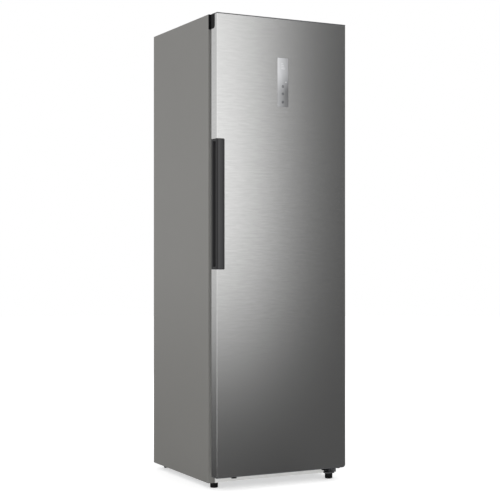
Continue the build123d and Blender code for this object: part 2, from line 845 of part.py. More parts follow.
# Evaporator: fins along a thin spine, with flattened return bends outside the end fins
fin_count = 12
fin_thick = 1.0
evap_half = 190.0
evap_low = duct_low_end + 36
evap_high = divider_low - 8
tube_radius = 4.0
tube_rows = 4
tube_pitch = 32.0
tube_low = evap_low + 20
evap_front = duct_low_face + duct_wall + 3
evap_mid = (evap_front + cavity_back) / 2
with BuildPart() as evaporator:
    with BuildSketch(Plane.XY.offset(evap_low)):
        with Locations((0, evap_mid)):
            Rectangle(2 * evap_half, fin_thick)
            with GridLocations(2 * evap_half / (fin_count - 1), 0, fin_count, 1):
                Rectangle(fin_thick, cavity_back - evap_front)
    extrude(amount=evap_high - evap_low)
    for side in (-1, 1):
        with BuildSketch(Plane.XZ.offset(-evap_mid - tube_radius)) as bends:
            for row in range(0 if side > 0 else 1, tube_rows - 1, 2):
                with Locations((side * evap_half, tube_low + (row + 0.5) * tube_pitch)):
                    Circle(tube_pitch / 2 + tube_radius)
                    Circle(tube_pitch / 2 - tube_radius, mode=Mode.SUBTRACT)
            inner = (side * evap_half / 2, (evap_low + evap_high) / 2)
            with Locations(inner):
                Rectangle(evap_half, evap_high - evap_low, mode=Mode.SUBTRACT)
        extrude(bends.sketch, amount=2 * tube_radius)
evaporator.part.label = "evaporator"
export_step(evaporator.part, "parts/evaporator.step")

# Fan: divider plate with its ring and arms, motor and blades
divider_y = duct_low_face + duct_wall + 14
ring_back = divider_y + 30
with BuildPart() as fan_shroud:
    divider_half = duct_half - duct_wall
    slab((-divider_half, divider_half), (divider_y, divider_y + 3), (divider_low, divider_high))
    bar_along_y(0, fan_height, divider_y, ring_back, ring_radius + fan_ring_wall)
    bar_along_y(0, fan_height, divider_y - 1, ring_back + 1, ring_radius, mode=Mode.SUBTRACT)
    with BuildSketch(Plane.XZ.offset(-ring_back)):
        with Locations((0, fan_height)):
            RegularPolygon(motor_radius + 4, motor_sides)
            with PolarLocations(0, 3, start_angle=90):
                with Locations(((ring_radius + 2) / 2, 0)):
                    Rectangle(ring_radius + 2, 8)
            RegularPolygon(motor_radius, motor_sides, mode=Mode.SUBTRACT)
    extrude(amount=4)
fan_shroud.part.label = "fan_shroud"
export_step(fan_shroud.part, "parts/fan_shroud.step")

motor_front = ring_back - 8
with BuildPart() as fan_motor:
    with BuildSketch(Plane.XZ.offset(-motor_front)):
        with Locations((0, fan_height)):
            RegularPolygon(motor_radius, motor_sides)
    extrude(amount=-motor_length)
    bar_along_y(0, fan_height, motor_front - 1, motor_front + 14, 2 + pin_fit, mode=Mode.SUBTRACT)
fan_motor.part.label = "fan_motor"
export_step(fan_motor.part, "parts/fan_motor.step")

blade_count = 5
blade_chord, blade_thick = 24.0, 1.6
blade_pitch = 28.0
blade_root = 3.0
blade_reach = fan_radius - 2.5
hub_radius = 17.0
hub_front = divider_y + 3
hub_back = motor_front - 1
with BuildPart() as fan_blades:
    bar_along_y(0, fan_height, hub_front, hub_back, hub_radius)
    bar_along_y(0, fan_height, hub_back, motor_front + 12, 2)
    for blade in range(blade_count):
        turn = radians(360 / blade_count * blade)
        outward = (sin(turn), 0, cos(turn))
        hub_middle = (0, (hub_front + hub_back) / 2, fan_height)
        along, rise = cos(radians(blade_pitch)), sin(radians(blade_pitch))
        chord_way = (along * cos(turn), rise, -along * sin(turn))
        root = Plane(origin=hub_middle, x_dir=chord_way, z_dir=outward)
        with BuildSketch(root.offset(hub_radius - blade_root)) as section:
            Rectangle(blade_chord, blade_thick)
        extrude(section.sketch, amount=blade_reach - hub_radius + blade_root)
fan_blades.part.label = "fan_blades"
export_step(fan_blades.part, "parts/fan_blades.step")

# Interior lamp lens on the ceiling
with BuildPart() as light_lens:
    slab((-90, 90), (shelf_front + 20, shelf_front + 72), (cavity_top - 12, cavity_top))
    fillet(light_lens.edges().filter_by(Axis.Z), 10)
light_lens.part.label = "light_lens"
export_step(light_lens.part, "parts/light_lens.step")

# Glass shelves, each with its front and rear trim
shelf_half = cavity_half - shelf_side_gap
trim_depth = 16.0
trim_cover = 5.0


def shelf_pane(level):
    """One toughened glass pane on its ledges."""
    with BuildPart() as pane:
        slab(
            (-shelf_half, shelf_half),
            (shelf_front + trim_cover, shelf_back),
            (level, level + shelf_glass_height),
        )
    return pane.part


def shelf_trims(level):
    """The rounded front strip and the rear strip that stops things sliding back."""
    front, top = shelf_front, level + shelf_glass_height
    with BuildPart() as trims:
        with BuildSketch(Plane.YZ.offset(-shelf_half)) as section:
            with BuildLine():
                Polyline(
                    (front, level - 9),
                    (front + trim_depth, level - 9),
                    (front + trim_depth, level),
                    (front + trim_cover, level),
                    (front + trim_cover, top),
                    (front + trim_depth, top),
                    (front + trim_depth, top + 2),
                    (front, top + 2),
                    close=True,
                )
            make_face()
            fillet(section.vertices().group_by(Axis.X)[0], 3)
        extrude(amount=2 * shelf_half)
        with BuildSketch(Plane.YZ.offset(-shelf_half)):
            with BuildLine():
                Polyline(
                    (shelf_back, level),
                    (shelf_back + 2.5, level),
                    (shelf_back + 2.5, top + 14),
                    (shelf_back, top + 14),
                    (shelf_back, top + 2),
                    (shelf_back - 12, top + 2),
                    (shelf_back - 12, top),
                    (shelf_back, top),
                    close=True,
                )
            make_face()
        extrude(amount=2 * shelf_half)
    return trims.part


for number, level in enumerate(shelf_levels, start=1):
    pane = shelf_pane(level)
    pane.label = f"shelf_glass_{number}"
    export_step(pane, f"parts/shelf_glass_{number}.step")
    trims = shelf_trims(level)
    trims.label = f"shelf_trims_{number}"
    export_step(trims, f"parts/shelf_trims_{number}.step")

# Cover over the drawers: a short pane that ends ahead of the deep duct
cover_back = duct_low_face - 3
with BuildPart() as crisper_glass:
    slab(
        (-shelf_half, shelf_half),
        (shelf_front + trim_cover, cover_back),
        (cover_height, cover_height + shelf_glass_height),
    )
crisper_glass.part.label = "crisper_glass"
export_step(crisper_glass.part, "parts/crisper_glass.step")

with BuildPart() as crisper_trims:
    glass_top = cover_height + shelf_glass_height
    with BuildSketch(Plane.YZ.offset(-shelf_half)) as cover_section:
        with BuildLine():
            Polyline(
                (shelf_front, cover_height - 16),
                (shelf_front + 4, cover_height - 16),
                (shelf_front + 4, cover_height - 4),
                (shelf_front + trim_depth, cover_height - 4),
                (shelf_front + trim_depth, cover_height),
                (shelf_front + trim_cover, cover_height),
                (shelf_front + trim_cover, glass_top),
                (shelf_front + trim_depth, glass_top),
                (shelf_front + trim_depth, glass_top + 2),
                (shelf_front, glass_top + 2),
                close=True,
            )
        make_face()
        top_nose = cover_section.vertices().group_by(Axis.X)[0].sort_by(Axis.Y)[-1]
        fillet(top_nose, 3)
    extrude(amount=2 * shelf_half)
crisper_trims.part.label = "crisper_trims"
export_step(crisper_trims.part, "parts/crisper_trims.step")

# Bottle rack: one waved sheet between two rails
cradle_count = 5
cradle_dip = 10.0
rack_front, rack_back = shelf_front + 4, shelf_back - 6
rack_sheet = 4.0
rail_top = rack_level + 15
rail_inner = shelf_half - 15
cradle = 2 * rail_inner / cradle_count
with BuildPart() as bottle_rack:
    with BuildSketch(Plane.XZ.offset(-rack_front)):
        with BuildLine():
            for top in (rail_top, rail_top - rack_sheet):
                for number in range(cradle_count):
                    left = -rail_inner + number * cradle
                    middle = (left + cradle / 2, top - cradle_dip)
                    ThreePointArc((left, top), middle, (left + cradle, top))
            for edge_x in (-rail_inner, rail_inner):
                Line((edge_x, rail_top), (edge_x, rail_top - rack_sheet))
        make_face()
    extrude(amount=-(rack_back - rack_front))
    for side in (-1, 1):
        rail = sorted((side * (shelf_half - 1), side * (rail_inner - 1)))
        slab(rail, (rack_front, rack_back), (rack_level, rail_top))
bottle_rack.part.label = "bottle_rack"
export_step(bottle_rack.part, "parts/bottle_rack.step")


def drawer(half, front, back, low, tall):
    """A clear drafted drawer, with a thick front that ends in a finger lip."""
    start = front + nose_depth
    middle = (0, (start + back) / 2)
    slant = tall * tan(radians(drawer_draft))
    top = low + tall
    with BuildPart() as box:
        add(tub((2 * half, back - start), middle, low, tall, tray_wall, drawer_draft, 14, 14))
        with BuildSketch(Plane.YZ.offset(-half)):
            with BuildLine():
                Polyline(
                    (start + slant + 1, low + 2),
                    (front + 1, low + 2),
                    (front + 2, top - 16),
                    (front - 3, top - 6),
                    (front - 3, top),
                    (start + 1, top),
                    close=True,
                )
            make_face()
        extrude(amount=2 * half)
    return box.part


lower_low = cavity_floor + drawer_gap
lower_tall = upper_drawer_floor - ledge_height - 6 - lower_low
lower_half = cavity_half - liner_corner - 2
lower_drawer = drawer(lower_half, drawer_front, step_front - profile_corner - 2, lower_low, lower_tall)
lower_drawer.label = "lower_drawer"
export_step(lower_drawer, "parts/lower_drawer.step")

upper_low = upper_drawer_floor + drawer_gap
upper_tall = cover_height - 18 - upper_low
upper_half = cavity_half - drawer_side_gap
upper_drawer = drawer(upper_half, drawer_front, duct_low_face - 6, upper_low, upper_tall)
upper_drawer.label = "upper_drawer"
export_step(upper_drawer, "parts/upper_drawer.step")

# Door skin: brushed sheet over the front and both edges
with BuildPart() as door_skin:
    with BuildSketch(Plane.XY.offset(steel_bottom)) as skin_plan:
        with Locations((0, (door_front + door_back) / 2)):
            Rectangle(width, door_depth)
        fillet(skin_plan.vertices().group_by(Axis.Y)[0], 2)
        with Locations((0, (door_front + sheet + door_back) / 2)):
            Rectangle(width - 2 * sheet, door_depth - sheet, mode=Mode.SUBTRACT)
    extrude(amount=steel_top - steel_bottom)
    add(handle_block, mode=Mode.SUBTRACT)
    add(left_pocket, mode=Mode.SUBTRACT)
    add(right_pocket, mode=Mode.SUBTRACT)
    add(round_corner, mode=Mode.SUBTRACT)
    slab(
        (-display_width / 2, display_width / 2),
        (door_front - 1, door_front + sheet + 1),
        (display_top - display_height, display_top),
        mode=Mode.SUBTRACT,
    )
door_skin.part.label = "door_skin"
export_step(door_skin.part, "parts/door_skin.step")

# End caps of the door
with BuildPart() as door_top_cap:
    with BuildSketch(Plane.XY.offset(steel_top)) as cap_plan:
        with Locations((0, (door_front + door_back) / 2)):
            Rectangle(width, door_depth)
        fillet(cap_plan.vertices().group_by(Axis.Y)[0], 2)
    extrude(amount=cap_height)
    add(left_pocket, mode=Mode.SUBTRACT)
    add(right_pocket, mode=Mode.SUBTRACT)
door_top_cap.part.label = "door_top_cap"
export_step(door_top_cap.part, "parts/door_top_cap.step")

with BuildPart() as door_bottom_cap:
    with BuildSketch(Plane.XY.offset(door_bottom)) as low_cap_plan:
        with Locations((0, (door_front + door_back) / 2)):
            Rectangle(width, door_depth)
        fillet(low_cap_plan.vertices().group_by(Axis.Y)[0], 2)
    extrude(amount=cap_height)
    post((hinge_x, hinge_y), door_bottom - 1, steel_bottom + 1, boss_radius + 2, mode=Mode.SUBTRACT)
    add(round_corner, mode=Mode.SUBTRACT)
door_bottom_cap.part.label = "door_bottom_cap"
export_step(door_bottom_cap.part, "parts/door_bottom_cap.step")

# Stop blocks under the door
stop_inset, stop_setback = 88.0, 26.0
with BuildPart() as door_stops:
    for side in (-1, 1):
        x = side * (half_width - stop_inset)
        stop_y = door_front + stop_setback
        slab((x - 10, x + 10), (stop_y - 8, stop_y + 8), (door_bottom - 8.5, door_bottom))
    chamfer(door_stops.edges().filter_by(Axis.Z), 3)
door_stops.part.label = "door_stops"
export_step(door_stops.part, "parts/door_stops.step")

# Filler in the unused hinge pocket
with BuildPart() as corner_filler:
    add(left_pocket)
corner_filler.part.label = "corner_filler"
export_step(corner_filler.part, "parts/corner_filler.step")

# Bushes: the block in the hinge pocket that takes the upper pin, and the lower cup
upper_bush_top = arm_bottom - 1.5
lower_bush_top = door_bottom + 20
with BuildPart() as hinge_bushes:
    add(right_pocket)
    split(bisect_by=Plane.XY.offset(upper_bush_top), keep=Keep.BOTTOM)
    pin_bore = pin_radius + pin_fit
    post((hinge_x, hinge_y), upper_pin_end - 1, upper_bush_top + 1, pin_bore, mode=Mode.SUBTRACT)
    post((hinge_x, hinge_y), door_bottom, lower_bush_top, boss_radius + 2)
    post((hinge_x, hinge_y), door_bottom - 1, door_bottom + 17, pin_bore, mode=Mode.SUBTRACT)
hinge_bushes.part.label = "hinge_bushes"
export_step(hinge_bushes.part, "parts/hinge_bushes.step")


def door_form(grow):
    """The raised inside of the door: seal frame, plug rim and the two bin towers."""
    with BuildPart() as form:
        frame_half = half_width - frame_inset - liner_wall + grow
        frame_low = door_bottom + frame_inset + liner_wall - grow
        frame_high = door_top - frame_inset - liner_wall + grow
        frame_top = door_back + frame_height - liner_wall + grow
        with BuildSketch(Plane.XZ.offset(-door_back)):
            with Locations((0, (frame_low + frame_high) / 2)):
                Rectangle(2 * frame_half, frame_high - frame_low)
        extrude(amount=-(frame_top - door_back))
        plug_half = cavity_half - plug_gap - liner_wall + grow
        plug_low = cavity_floor + plug_gap + liner_wall - grow
        plug_high = cavity_top - plug_gap - liner_wall + grow
        dyke = 16 - 2 * liner_wall + 2 * grow
        with BuildSketch(Plane.XZ.offset(-door_back)):
            with Locations((0, (plug_low + plug_high) / 2)):
                RectangleRounded(2 * plug_half, plug_high - plug_low, 14)
                hollow = (2 * (plug_half - dyke), plug_high - plug_low - 2 * dyke)
                RectangleRounded(*hollow, 10, mode=Mode.SUBTRACT)
        extrude(amount=-(cabinet_front + plug_reach - liner_wall + grow - door_back))
        tower_low = plug_low + dyke - 4
        tower_high = plug_high - dyke + 4
        for side in (-1, 1):
            near = tower_inner + liner_wall - grow
            far = tower_inner + tower_width - liner_wall + grow
            with BuildSketch(Plane.XY.offset(tower_low)) as tower:
                with BuildLine():
                    Polyline(
                        (side * near, door_back),
                        (side * near, cabinet_front + tower_reach - liner_wall + grow),
                        (side * far, cabinet_front + tower_reach - liner_wall + grow),
                        (side * far, door_back),
                        close=True,
                    )
                make_face()
                chamfer(tower.vertices().group_by(Axis.Y)[-1], 3)
            extrude(amount=tower_high - tower_low)
    return form.part


form_inside = door_form(0)
form_outside = door_form(liner_wall)
lug_depth, lug_height, lug_length = 5.0, 5.0, 30.0
lug_y = cabinet_front + 22

# Door foam, filling skin and liner
with BuildPart() as door_foam:
    inside = (-half_width + sheet, half_width - sheet)
    slab(inside, (door_front + sheet, door_back), (steel_bottom, steel_top))
    add(form_inside)
    add(handle_block, mode=Mode.SUBTRACT)
    add(left_pocket, mode=Mode.SUBTRACT)
    add(right_pocket, mode=Mode.SUBTRACT)
    post((hinge_x, hinge_y), steel_bottom, lower_bush_top, boss_radius + 2, mode=Mode.SUBTRACT)
    add(round_corner, mode=Mode.SUBTRACT)
    slab(
        (-display_width / 2 - 8, display_width / 2 + 8),
        (door_front + sheet, door_front + sheet + 14),
        (display_top - display_height - 8, display_top + 8),
        mode=Mode.SUBTRACT,
    )
door_foam.part.label = "door_foam"
export_step(door_foam.part, "parts/door_foam.step")

# Door liner: flat flange, raised frame, plug rim, towers and the ledges for the bins
with BuildPart() as door_liner:
    inside = (-half_width + sheet, half_width - sheet)
    slab(inside, (door_back, door_back + liner_wall), (steel_bottom, steel_top))
    add(form_outside)
    add(form_inside, mode=Mode.SUBTRACT)
    add(left_pocket, mode=Mode.SUBTRACT)
    add(right_pocket, mode=Mode.SUBTRACT)
    add(round_corner, mode=Mode.SUBTRACT)
    for level, tall in zip(bin_levels, bin_heights):
        ledge_top = level + tall - 30
        for side in (-1, 1):
            edge = sorted((side * (tower_inner - lug_depth), side * (tower_inner + 0.5)))
            slab(edge, (lug_y, lug_y + lug_length), (ledge_top - lug_height, ledge_top))
door_liner.part.label = "door_liner"
export_step(door_liner.part, "parts/door_liner.step")

# Magnetic gasket: ribbed seal ring on the frame
gasket_low = door_bottom + frame_inset
gasket_high = door_top - frame_inset
gasket_half = half_width - frame_inset
gasket_base = door_back + frame_height
gasket_face = cabinet_front - gasket_gap
with BuildPart() as door_gasket:
    with BuildSketch(Plane.XZ.offset(-gasket_base)):
        with Locations((0, (gasket_low + gasket_high) / 2)):
            RectangleRounded(2 * gasket_half, gasket_high - gasket_low, 6)
            inside_high = gasket_high - gasket_low - 2 * gasket_width
            RectangleRounded(2 * (gasket_half - gasket_width), inside_high, 3, mode=Mode.SUBTRACT)
    extrude(amount=-(gasket_face - gasket_base))
    with BuildSketch(Plane.XZ.offset(-gasket_base - -4)):
        with Locations((0, (gasket_low + gasket_high) / 2)):
            Rectangle(2 * gasket_half + 2, gasket_high - gasket_low + 2)
            RectangleRounded(2 * gasket_half - 6, gasket_high - gasket_low - 6, 5, mode=Mode.SUBTRACT)
    extrude(amount=-3, mode=Mode.SUBTRACT)
door_gasket.part.label = "door_gasket"
export_step(door_gasket.part, "parts/door_gasket.step")

# Handle: black profile on the free edge, with a closed-ended finger groove
with BuildPart() as handle_profile:
    add(handle_block)
    dip_start = -half_width + 14
    dip_end = -half_width + handle_front - 3
    with BuildSketch(Plane.XY.offset(handle_bottom + 3)):
        with BuildLine():
            Line((dip_start, door_front), (dip_end, door_front))
            deepest = ((dip_start + 2 * dip_end) / 3, door_front + 2.2)
            ThreePointArc((dip_end, door_front), deepest, (dip_start, door_front))
        make_face()
    extrude(amount=handle_height - 6, mode=Mode.SUBTRACT)
    groove_front = door_front + grip_lip
    with BuildSketch(Plane.XY.offset(handle_bottom + 10)) as groove:
        with BuildLine():
            Polyline(
                (-half_width - 1, groove_front),
                (-half_width + grip_depth, groove_front - 3),
                (-half_width + grip_depth, groove_front + grip_opening - 8),
                (-half_width - 1, groove_front + grip_opening),
                close=True,
            )
        make_face()
        fillet(groove.vertices().group_by(Axis.X)[-1], 6)
    extrude(amount=handle_height - 20, mode=Mode.SUBTRACT)
handle_profile.part.label = "handle_profile"
export_step(handle_profile.part, "parts/handle_profile.step")

# Display: tinted lens flush with the steel and the touch module behind it
with BuildPart() as display_lens:
    slab(
        (-display_width / 2, display_width / 2),
        (door_front, door_front + display_glass),
        (display_top - display_height, display_top),
    )
display_lens.part.label = "display_lens"
export_step(display_lens.part, "parts/display_lens.step")

with BuildPart() as display_module:
    slab(
        (-display_width / 2 - 6, display_width / 2 + 6),
        (door_front + display_glass, door_front + display_glass + 11),
        (display_top - display_height - 6, display_top + 6),
    )
    chamfer(display_module.edges().filter_by(Axis.Y), 3)
display_module.part.label = "display_module"
export_step(display_module.part, "parts/display_module.step")

# Door bins: drafted trays with rounded corners that rest on the tower ledges
bin_back = door_back + frame_height
for number, (level, tall) in enumerate(zip(bin_levels, bin_heights), start=1):
    bin_front = bin_back + 0.5
    bin_end = cabinet_front + bin_reach
    size = (2 * bin_half, bin_end - bin_front)
    middle = (0, (bin_front + bin_end) / 2)
    tray = tub(size, middle, level, tall, tray_wall, bin_draft, 0, bin_corner)
    with BuildPart() as door_bin:
        add(tray)
        ledge_top = level + tall - 30
        for side in (-1, 1):
            edge = sorted((side * (bin_half - 1.5), side * (tower_inner - 0.4)))
            slab(edge, (lug_y, lug_y + lug_length), (ledge_top, ledge_top + 5))
    door_bin.part.label = f"door_bin_{number}"
    export_step(door_bin.part, f"parts/door_bin_{number}.step")
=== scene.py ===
import math

import bpy
import numpy as np
from bpy.props import FloatProperty, FloatVectorProperty, IntProperty, PointerProperty
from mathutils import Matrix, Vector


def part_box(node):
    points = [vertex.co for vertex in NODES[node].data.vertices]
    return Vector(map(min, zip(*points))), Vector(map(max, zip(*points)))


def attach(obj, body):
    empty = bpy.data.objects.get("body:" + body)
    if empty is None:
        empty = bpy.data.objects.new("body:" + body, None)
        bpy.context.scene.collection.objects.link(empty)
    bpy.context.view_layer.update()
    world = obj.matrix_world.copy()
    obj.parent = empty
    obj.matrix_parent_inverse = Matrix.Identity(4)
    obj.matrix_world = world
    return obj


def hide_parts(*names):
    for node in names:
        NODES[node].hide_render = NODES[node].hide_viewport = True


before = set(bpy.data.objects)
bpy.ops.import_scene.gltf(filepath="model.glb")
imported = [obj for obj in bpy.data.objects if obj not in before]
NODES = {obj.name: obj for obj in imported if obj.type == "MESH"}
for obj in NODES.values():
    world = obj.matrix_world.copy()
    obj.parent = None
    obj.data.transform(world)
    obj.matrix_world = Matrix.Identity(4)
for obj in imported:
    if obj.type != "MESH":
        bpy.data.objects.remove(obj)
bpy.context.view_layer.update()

bl_info = {
    "name": "Single door refrigerator",
    "version": (1, 0, 0),
    "blender": (4, 5, 0),
    "location": "View3D > Sidebar > Refrigerator",
    "description": "Finishes and moulded pieces on the packed frame of a refrigerator",
    "category": "Add Mesh",
}

MM = 0.001


def mm(*values):
    """Lengths given in millimetres, as an array in metres."""
    return np.array(values) * MM


def display_colour(red, green, blue):
    """A colour as a screen shows it, 0 to 255, turned into the linear values that shaders use."""
    parts = np.array([red, green, blue]) / 255
    linear = np.where(parts <= 0.04045, parts / 12.92, ((parts + 0.055) / 1.055) ** 2.4)
    return tuple(float(part) for part in linear)


def colour(name, text, red, green, blue):
    """A colour setting with its default given as a screen shows it."""
    return FloatVectorProperty(
        name=name, description=text, subtype="COLOR", size=3, min=0, max=1,
        default=display_colour(red, green, blue),
    )


def setting(name, text, default, least=0, kind=FloatProperty, **rest):
    """A number setting, by default one that can't go below 0."""
    return kind(name=name, description=text, default=default, min=least, **rest)


def length(name, text, millimetres):
    """A length setting with its default in millimetres."""
    return setting(name, text, millimetres * MM, unit="LENGTH")


class FridgeColours(bpy.types.PropertyGroup):
    """Colours of the finishes."""

    steel: colour("Steel", "Brushed stainless sheet of the door", 231, 231, 230)
    paint: colour("Cabinet paint", "Satin grey coat of the sides and top", 121, 120, 117)
    zinc: colour("Zinc sheet", "Galvanised back, floor and bay", 178, 180, 181)
    foam: colour("Foam", "Insulation, seen only at a cut edge", 232, 214, 160)
    liner: colour("Liner", "White moulded lining", 238, 240, 240)
    tray: colour("Tray", "Evaporation tray in the bay", 208, 210, 210)
    clear: colour("Clear plastic", "Bins and drawers", 234, 240, 241)
    glass: colour("Shelf glass", "Toughened panes", 214, 232, 224)
    glass_rim: colour("Glass rim", "Cut edges of the panes", 96, 160, 138)
    trim: colour("Shelf trim", "Satin strips on the panes", 202, 205, 208)
    black: colour("Black plastic", "Filler, stops, feet and housings", 13, 13, 14)
    cap: colour("End caps", "Moulded top and bottom of the door", 74, 75, 77)
    handle: colour("Handle", "Dark profile on the free edge", 44, 44, 45)
    plinth: colour("Plinth", "Pale strip under the door", 240, 240, 238)
    seal: colour("Seal", "Magnetic gasket", 96, 97, 99)
    mount: colour("Rubber mounts", "Mounts under the compressor", 46, 46, 48)
    silver: colour("Display", "Silver print behind the display glass", 204, 205, 207)
    ink: colour("Display keys", "Dark rings on the display", 52, 54, 58)
    marks: colour("Display marks", "Pale bars on the display", 212, 213, 215)
    hinge: colour("Hinges", "Painted hinge leaves", 92, 92, 94)
    screw: colour("Screws", "Bright screws of hinges and back", 190, 192, 196)
    stud: colour("Studs", "Threaded studs of the feet", 176, 178, 182)
    bolt: colour("Bolts", "Bolts of the compressor", 188, 186, 180)
    fins: colour("Fins", "Aluminium fins of the evaporator", 214, 216, 220)
    copper: colour("Copper", "Refrigerant lines", 214, 142, 104)
    motor: colour("Compressor", "Black enamel of the can", 24, 25, 27)


class FridgeSizes(bpy.types.PropertyGroup):
    """Sizes of the moulded pieces that stand in for plain frame nodes."""

    bead: length("Rim bead", "How far the rim of a bin or drawer stands out", 1.4)
    tub_wall: length("Tub wall", "Wall of a bin or drawer", 2.5)
    edge: length("Edge radius", "Rounding of moulded edges", 1.2)
    pipe: length("Pipe radius", "Copper line", 3.0)
    bend: length("Pipe bend", "Bend radius of a copper line", 14.0)
    flutes: setting("Foot flutes", "Grips round a levelling foot", 16, kind=IntProperty)
    seal_folds: setting("Seal folds", "Folds in the bellows of the seal", 2, 1, IntProperty)
    key: length("Touch key", "Radius of a key ring on the display", 5.2)


class StudioSettings(bpy.types.PropertyGroup):
    """Where the camera stands and how strong the light is."""

    camera_place: FloatVectorProperty(
        name="Camera", description="Where the camera stands", subtype="TRANSLATION", size=3,
        default=(-2.3870, -4.6770, 0.9324),
    )
    camera_turn: FloatProperty(
        name="Turn", description="Camera's heading, clockwise from the front", subtype="ANGLE",
        default=-math.radians(27.186),
    )
    lens: setting("Lens", "Focal length in millimetres", 87.9, 1)
    shift: setting("Shift", "Vertical shift of the lens", 0.0136, -1)
    ambient: setting("Ambient", "Level of the light from all round", 0.72)
    key: setting("Key lamp", "Power of the large front lamp", 46.0)
    fill: setting("Fill lamps", "Power of each of the two other lamps", 30.0)


def maths(operation, swapped=False):
    """A method that adds the Math node of that operation, on a link and perhaps another value."""
    def method(link, *others):
        values = (*others, link) if swapped else (link, *others)
        settings = {"operation": operation}
        return link.finish.node("ShaderNodeMath", settings, dict(enumerate(values)))
    return method


class Link:
    """A shader socket that Python's arithmetic can be written on; either joins two masks."""

    def __init__(self, finish, socket):
        self.finish = finish
        self.socket = socket

    __add__ = __radd__ = maths("ADD")
    __sub__, __rsub__ = maths("SUBTRACT"), maths("SUBTRACT", swapped=True)
    __mul__ = __rmul__ = maths("MULTIPLY")
    __gt__, __lt__ = maths("GREATER_THAN"), maths("LESS_THAN")
    __abs__ = maths("ABSOLUTE")
    either = maths("MAXIMUM")


class Finish:
    """The node tree of one material or world, filled by its node method."""

    def __init__(self, owner):
        owner.use_nodes = True
        self.owner = owner
        self.tree = owner.node_tree
        self.tree.nodes.clear()

    def node(self, kind, settings=None, inputs=None, output=0):
        """One node of that type: its settings first, then the values or links of its sockets."""
        node = self.tree.nodes.new(kind)
        for name, value in (settings or {}).items():
            setattr(node, name, value)
        for key, value in (inputs or {}).items():
            if isinstance(value, Link):
                self.tree.links.new(value.socket, node.inputs[key])
            else:
                node.inputs[key].default_value = value
        return Link(self, node.outputs[output]) if node.outputs else None

    def point(self):
        """Object coordinates in metres."""
        return self.node("ShaderNodeTexCoord", output="Object")

    def axis(self, letter):
        """One of the object coordinates."""
        return self.node("ShaderNodeSeparateXYZ", inputs={0: self.point()}, output=letter)

    def pattern(self, kind, scale, stretch=(1, 1, 1), output=0, **inputs):
        """A texture over the object coordinates, multiplied along each axis by the stretch."""
        vector = {"Vector": self.point(), "Scale": stretch}
        place = self.node("ShaderNodeMapping", inputs=vector)
        return self.node(kind, inputs={"Vector": place, "Scale": scale, **inputs}, output=output)

    def noise(self, scale, detail=2.0, stretch=(1, 1, 1)):
        return self.pattern("ShaderNodeTexNoise", scale, stretch, Detail=detail, Roughness=0.5)

    def attribute(self, name):
        return self.node("ShaderNodeAttribute", {"attribute_name": name}, output="Fac")

    def between(self, share, low, high):
        """The value from low to high as the share goes from 0 to 1."""
        return share * (high - low) + low

    def smooth(self, value, start, end):
        """0 before start and 1 after end, with a smooth step between."""
        settings = {"interpolation_type": "SMOOTHSTEP"}
        return self.node("ShaderNodeMapRange", settings, {0: value, 1: start, 2: end})

    def mix(self, share, first, second):
        """A colour from first to second as the share goes from 0 to 1."""
        colours = {6: (*first, 1), 7: (*second, 1)}
        return self.node("ShaderNodeMix", {"data_type": "RGBA"}, {0: share, **colours}, output=2)

    def shade(self, base, share, depth):
        """A base colour that darkens by depth as the share goes from 0 to 1."""
        return self.mix(share, base, tuple(part * (1 - depth) for part in base))

    def bump(self, height, distance, strength):
        inputs = {"Height": height, "Distance": distance, "Strength": strength}
        return self.node("ShaderNodeBump", inputs=inputs)

    def close(self, tone=None, gloss=None, relief=None, **sockets):
        """The Principled shader with these sockets, and the output.

        Tone is a base colour, a share and how far it darkens by it, gloss a share and the
        roughness at both its ends, and relief a bump's height, distance and strength.
        """
        if tone:
            sockets["base_color"] = self.shade(*tone)
        if gloss:
            sockets["roughness"] = self.between(*gloss)
        if relief:
            sockets["normal"] = self.bump(*relief)
        names = {name: name.replace("_", " ").title().replace("Ior", "IOR") for name in sockets}
        inputs = {names[name]: value for name, value in sockets.items()}
        return self.output("Material", self.node("ShaderNodeBsdfPrincipled", inputs=inputs))

    def output(self, kind, shader):
        self.node(f"ShaderNodeOutput{kind}", inputs={"Surface": shader})
        return self.owner


def new_finish(name):
    return Finish(bpy.data.materials.new(name))


def brushed_steel(name, base, rough=0.22):
    """Stainless sheet brushed across: long fine scratches that change its gloss and colour."""
    finish = new_finish(name)
    fine = finish.noise(1500, stretch=(0.02, 0.02, 1))
    streak = finish.noise(260, stretch=(0.1, 0.1, 1))
    cloud = finish.noise(5, 3, stretch=(0.5, 0.5, 1))
    return finish.close(
        tone=(base, streak * 0.85 + cloud * 0.15, 0.14),
        gloss=(fine * 0.5 + streak * 0.5, rough - 0.05, rough + 0.05),
        relief=(fine, 0.00002, 0.35), metallic=1.0, anisotropic=0.85, anisotropic_rotation=0.25,
    )


def coated_sheet(name, base, rough=0.42, mottle=0.05, peel=0.00006):
    """Painted or enamelled sheet: faint orange peel and a slow drift of tone."""
    finish = new_finish(name)
    grain = finish.noise(900)
    return finish.close(
        tone=(base, finish.noise(3, 3), mottle), gloss=(grain, rough - 0.04, rough + 0.04),
        relief=(grain, peel, 0.5), ior=1.45,
    )


def clouded(name, base, cloud, tone, rough, grain, depth, strength=0.5, **sockets):
    """A finish whose tone and gloss drift with a cloud, and whose bump is a fine grain.

    The cloud is a noise's scale and detail, and rough is the roughness at both its ends.
    """
    finish = new_finish(name)
    drift = finish.noise(*cloud)
    relief = finish.noise(grain), depth, strength
    return finish.close((base, drift, tone), (drift, *rough), relief, **sockets)


def moulded_plastic(name, base, rough, depth=0.00008, tone=0.06, ior=1.46):
    """Moulded plastic with a fine spark-eroded grain and slightly cloudy tone."""
    ends = rough - 0.04, rough + 0.05
    return clouded(name, base, (14, 3), tone, ends, 2200, depth, ior=ior)


def white_lining(name, base):
    """Deep-drawn glossy sheet."""
    return moulded_plastic(name, base, 0.22, 0.00003, 0.03)


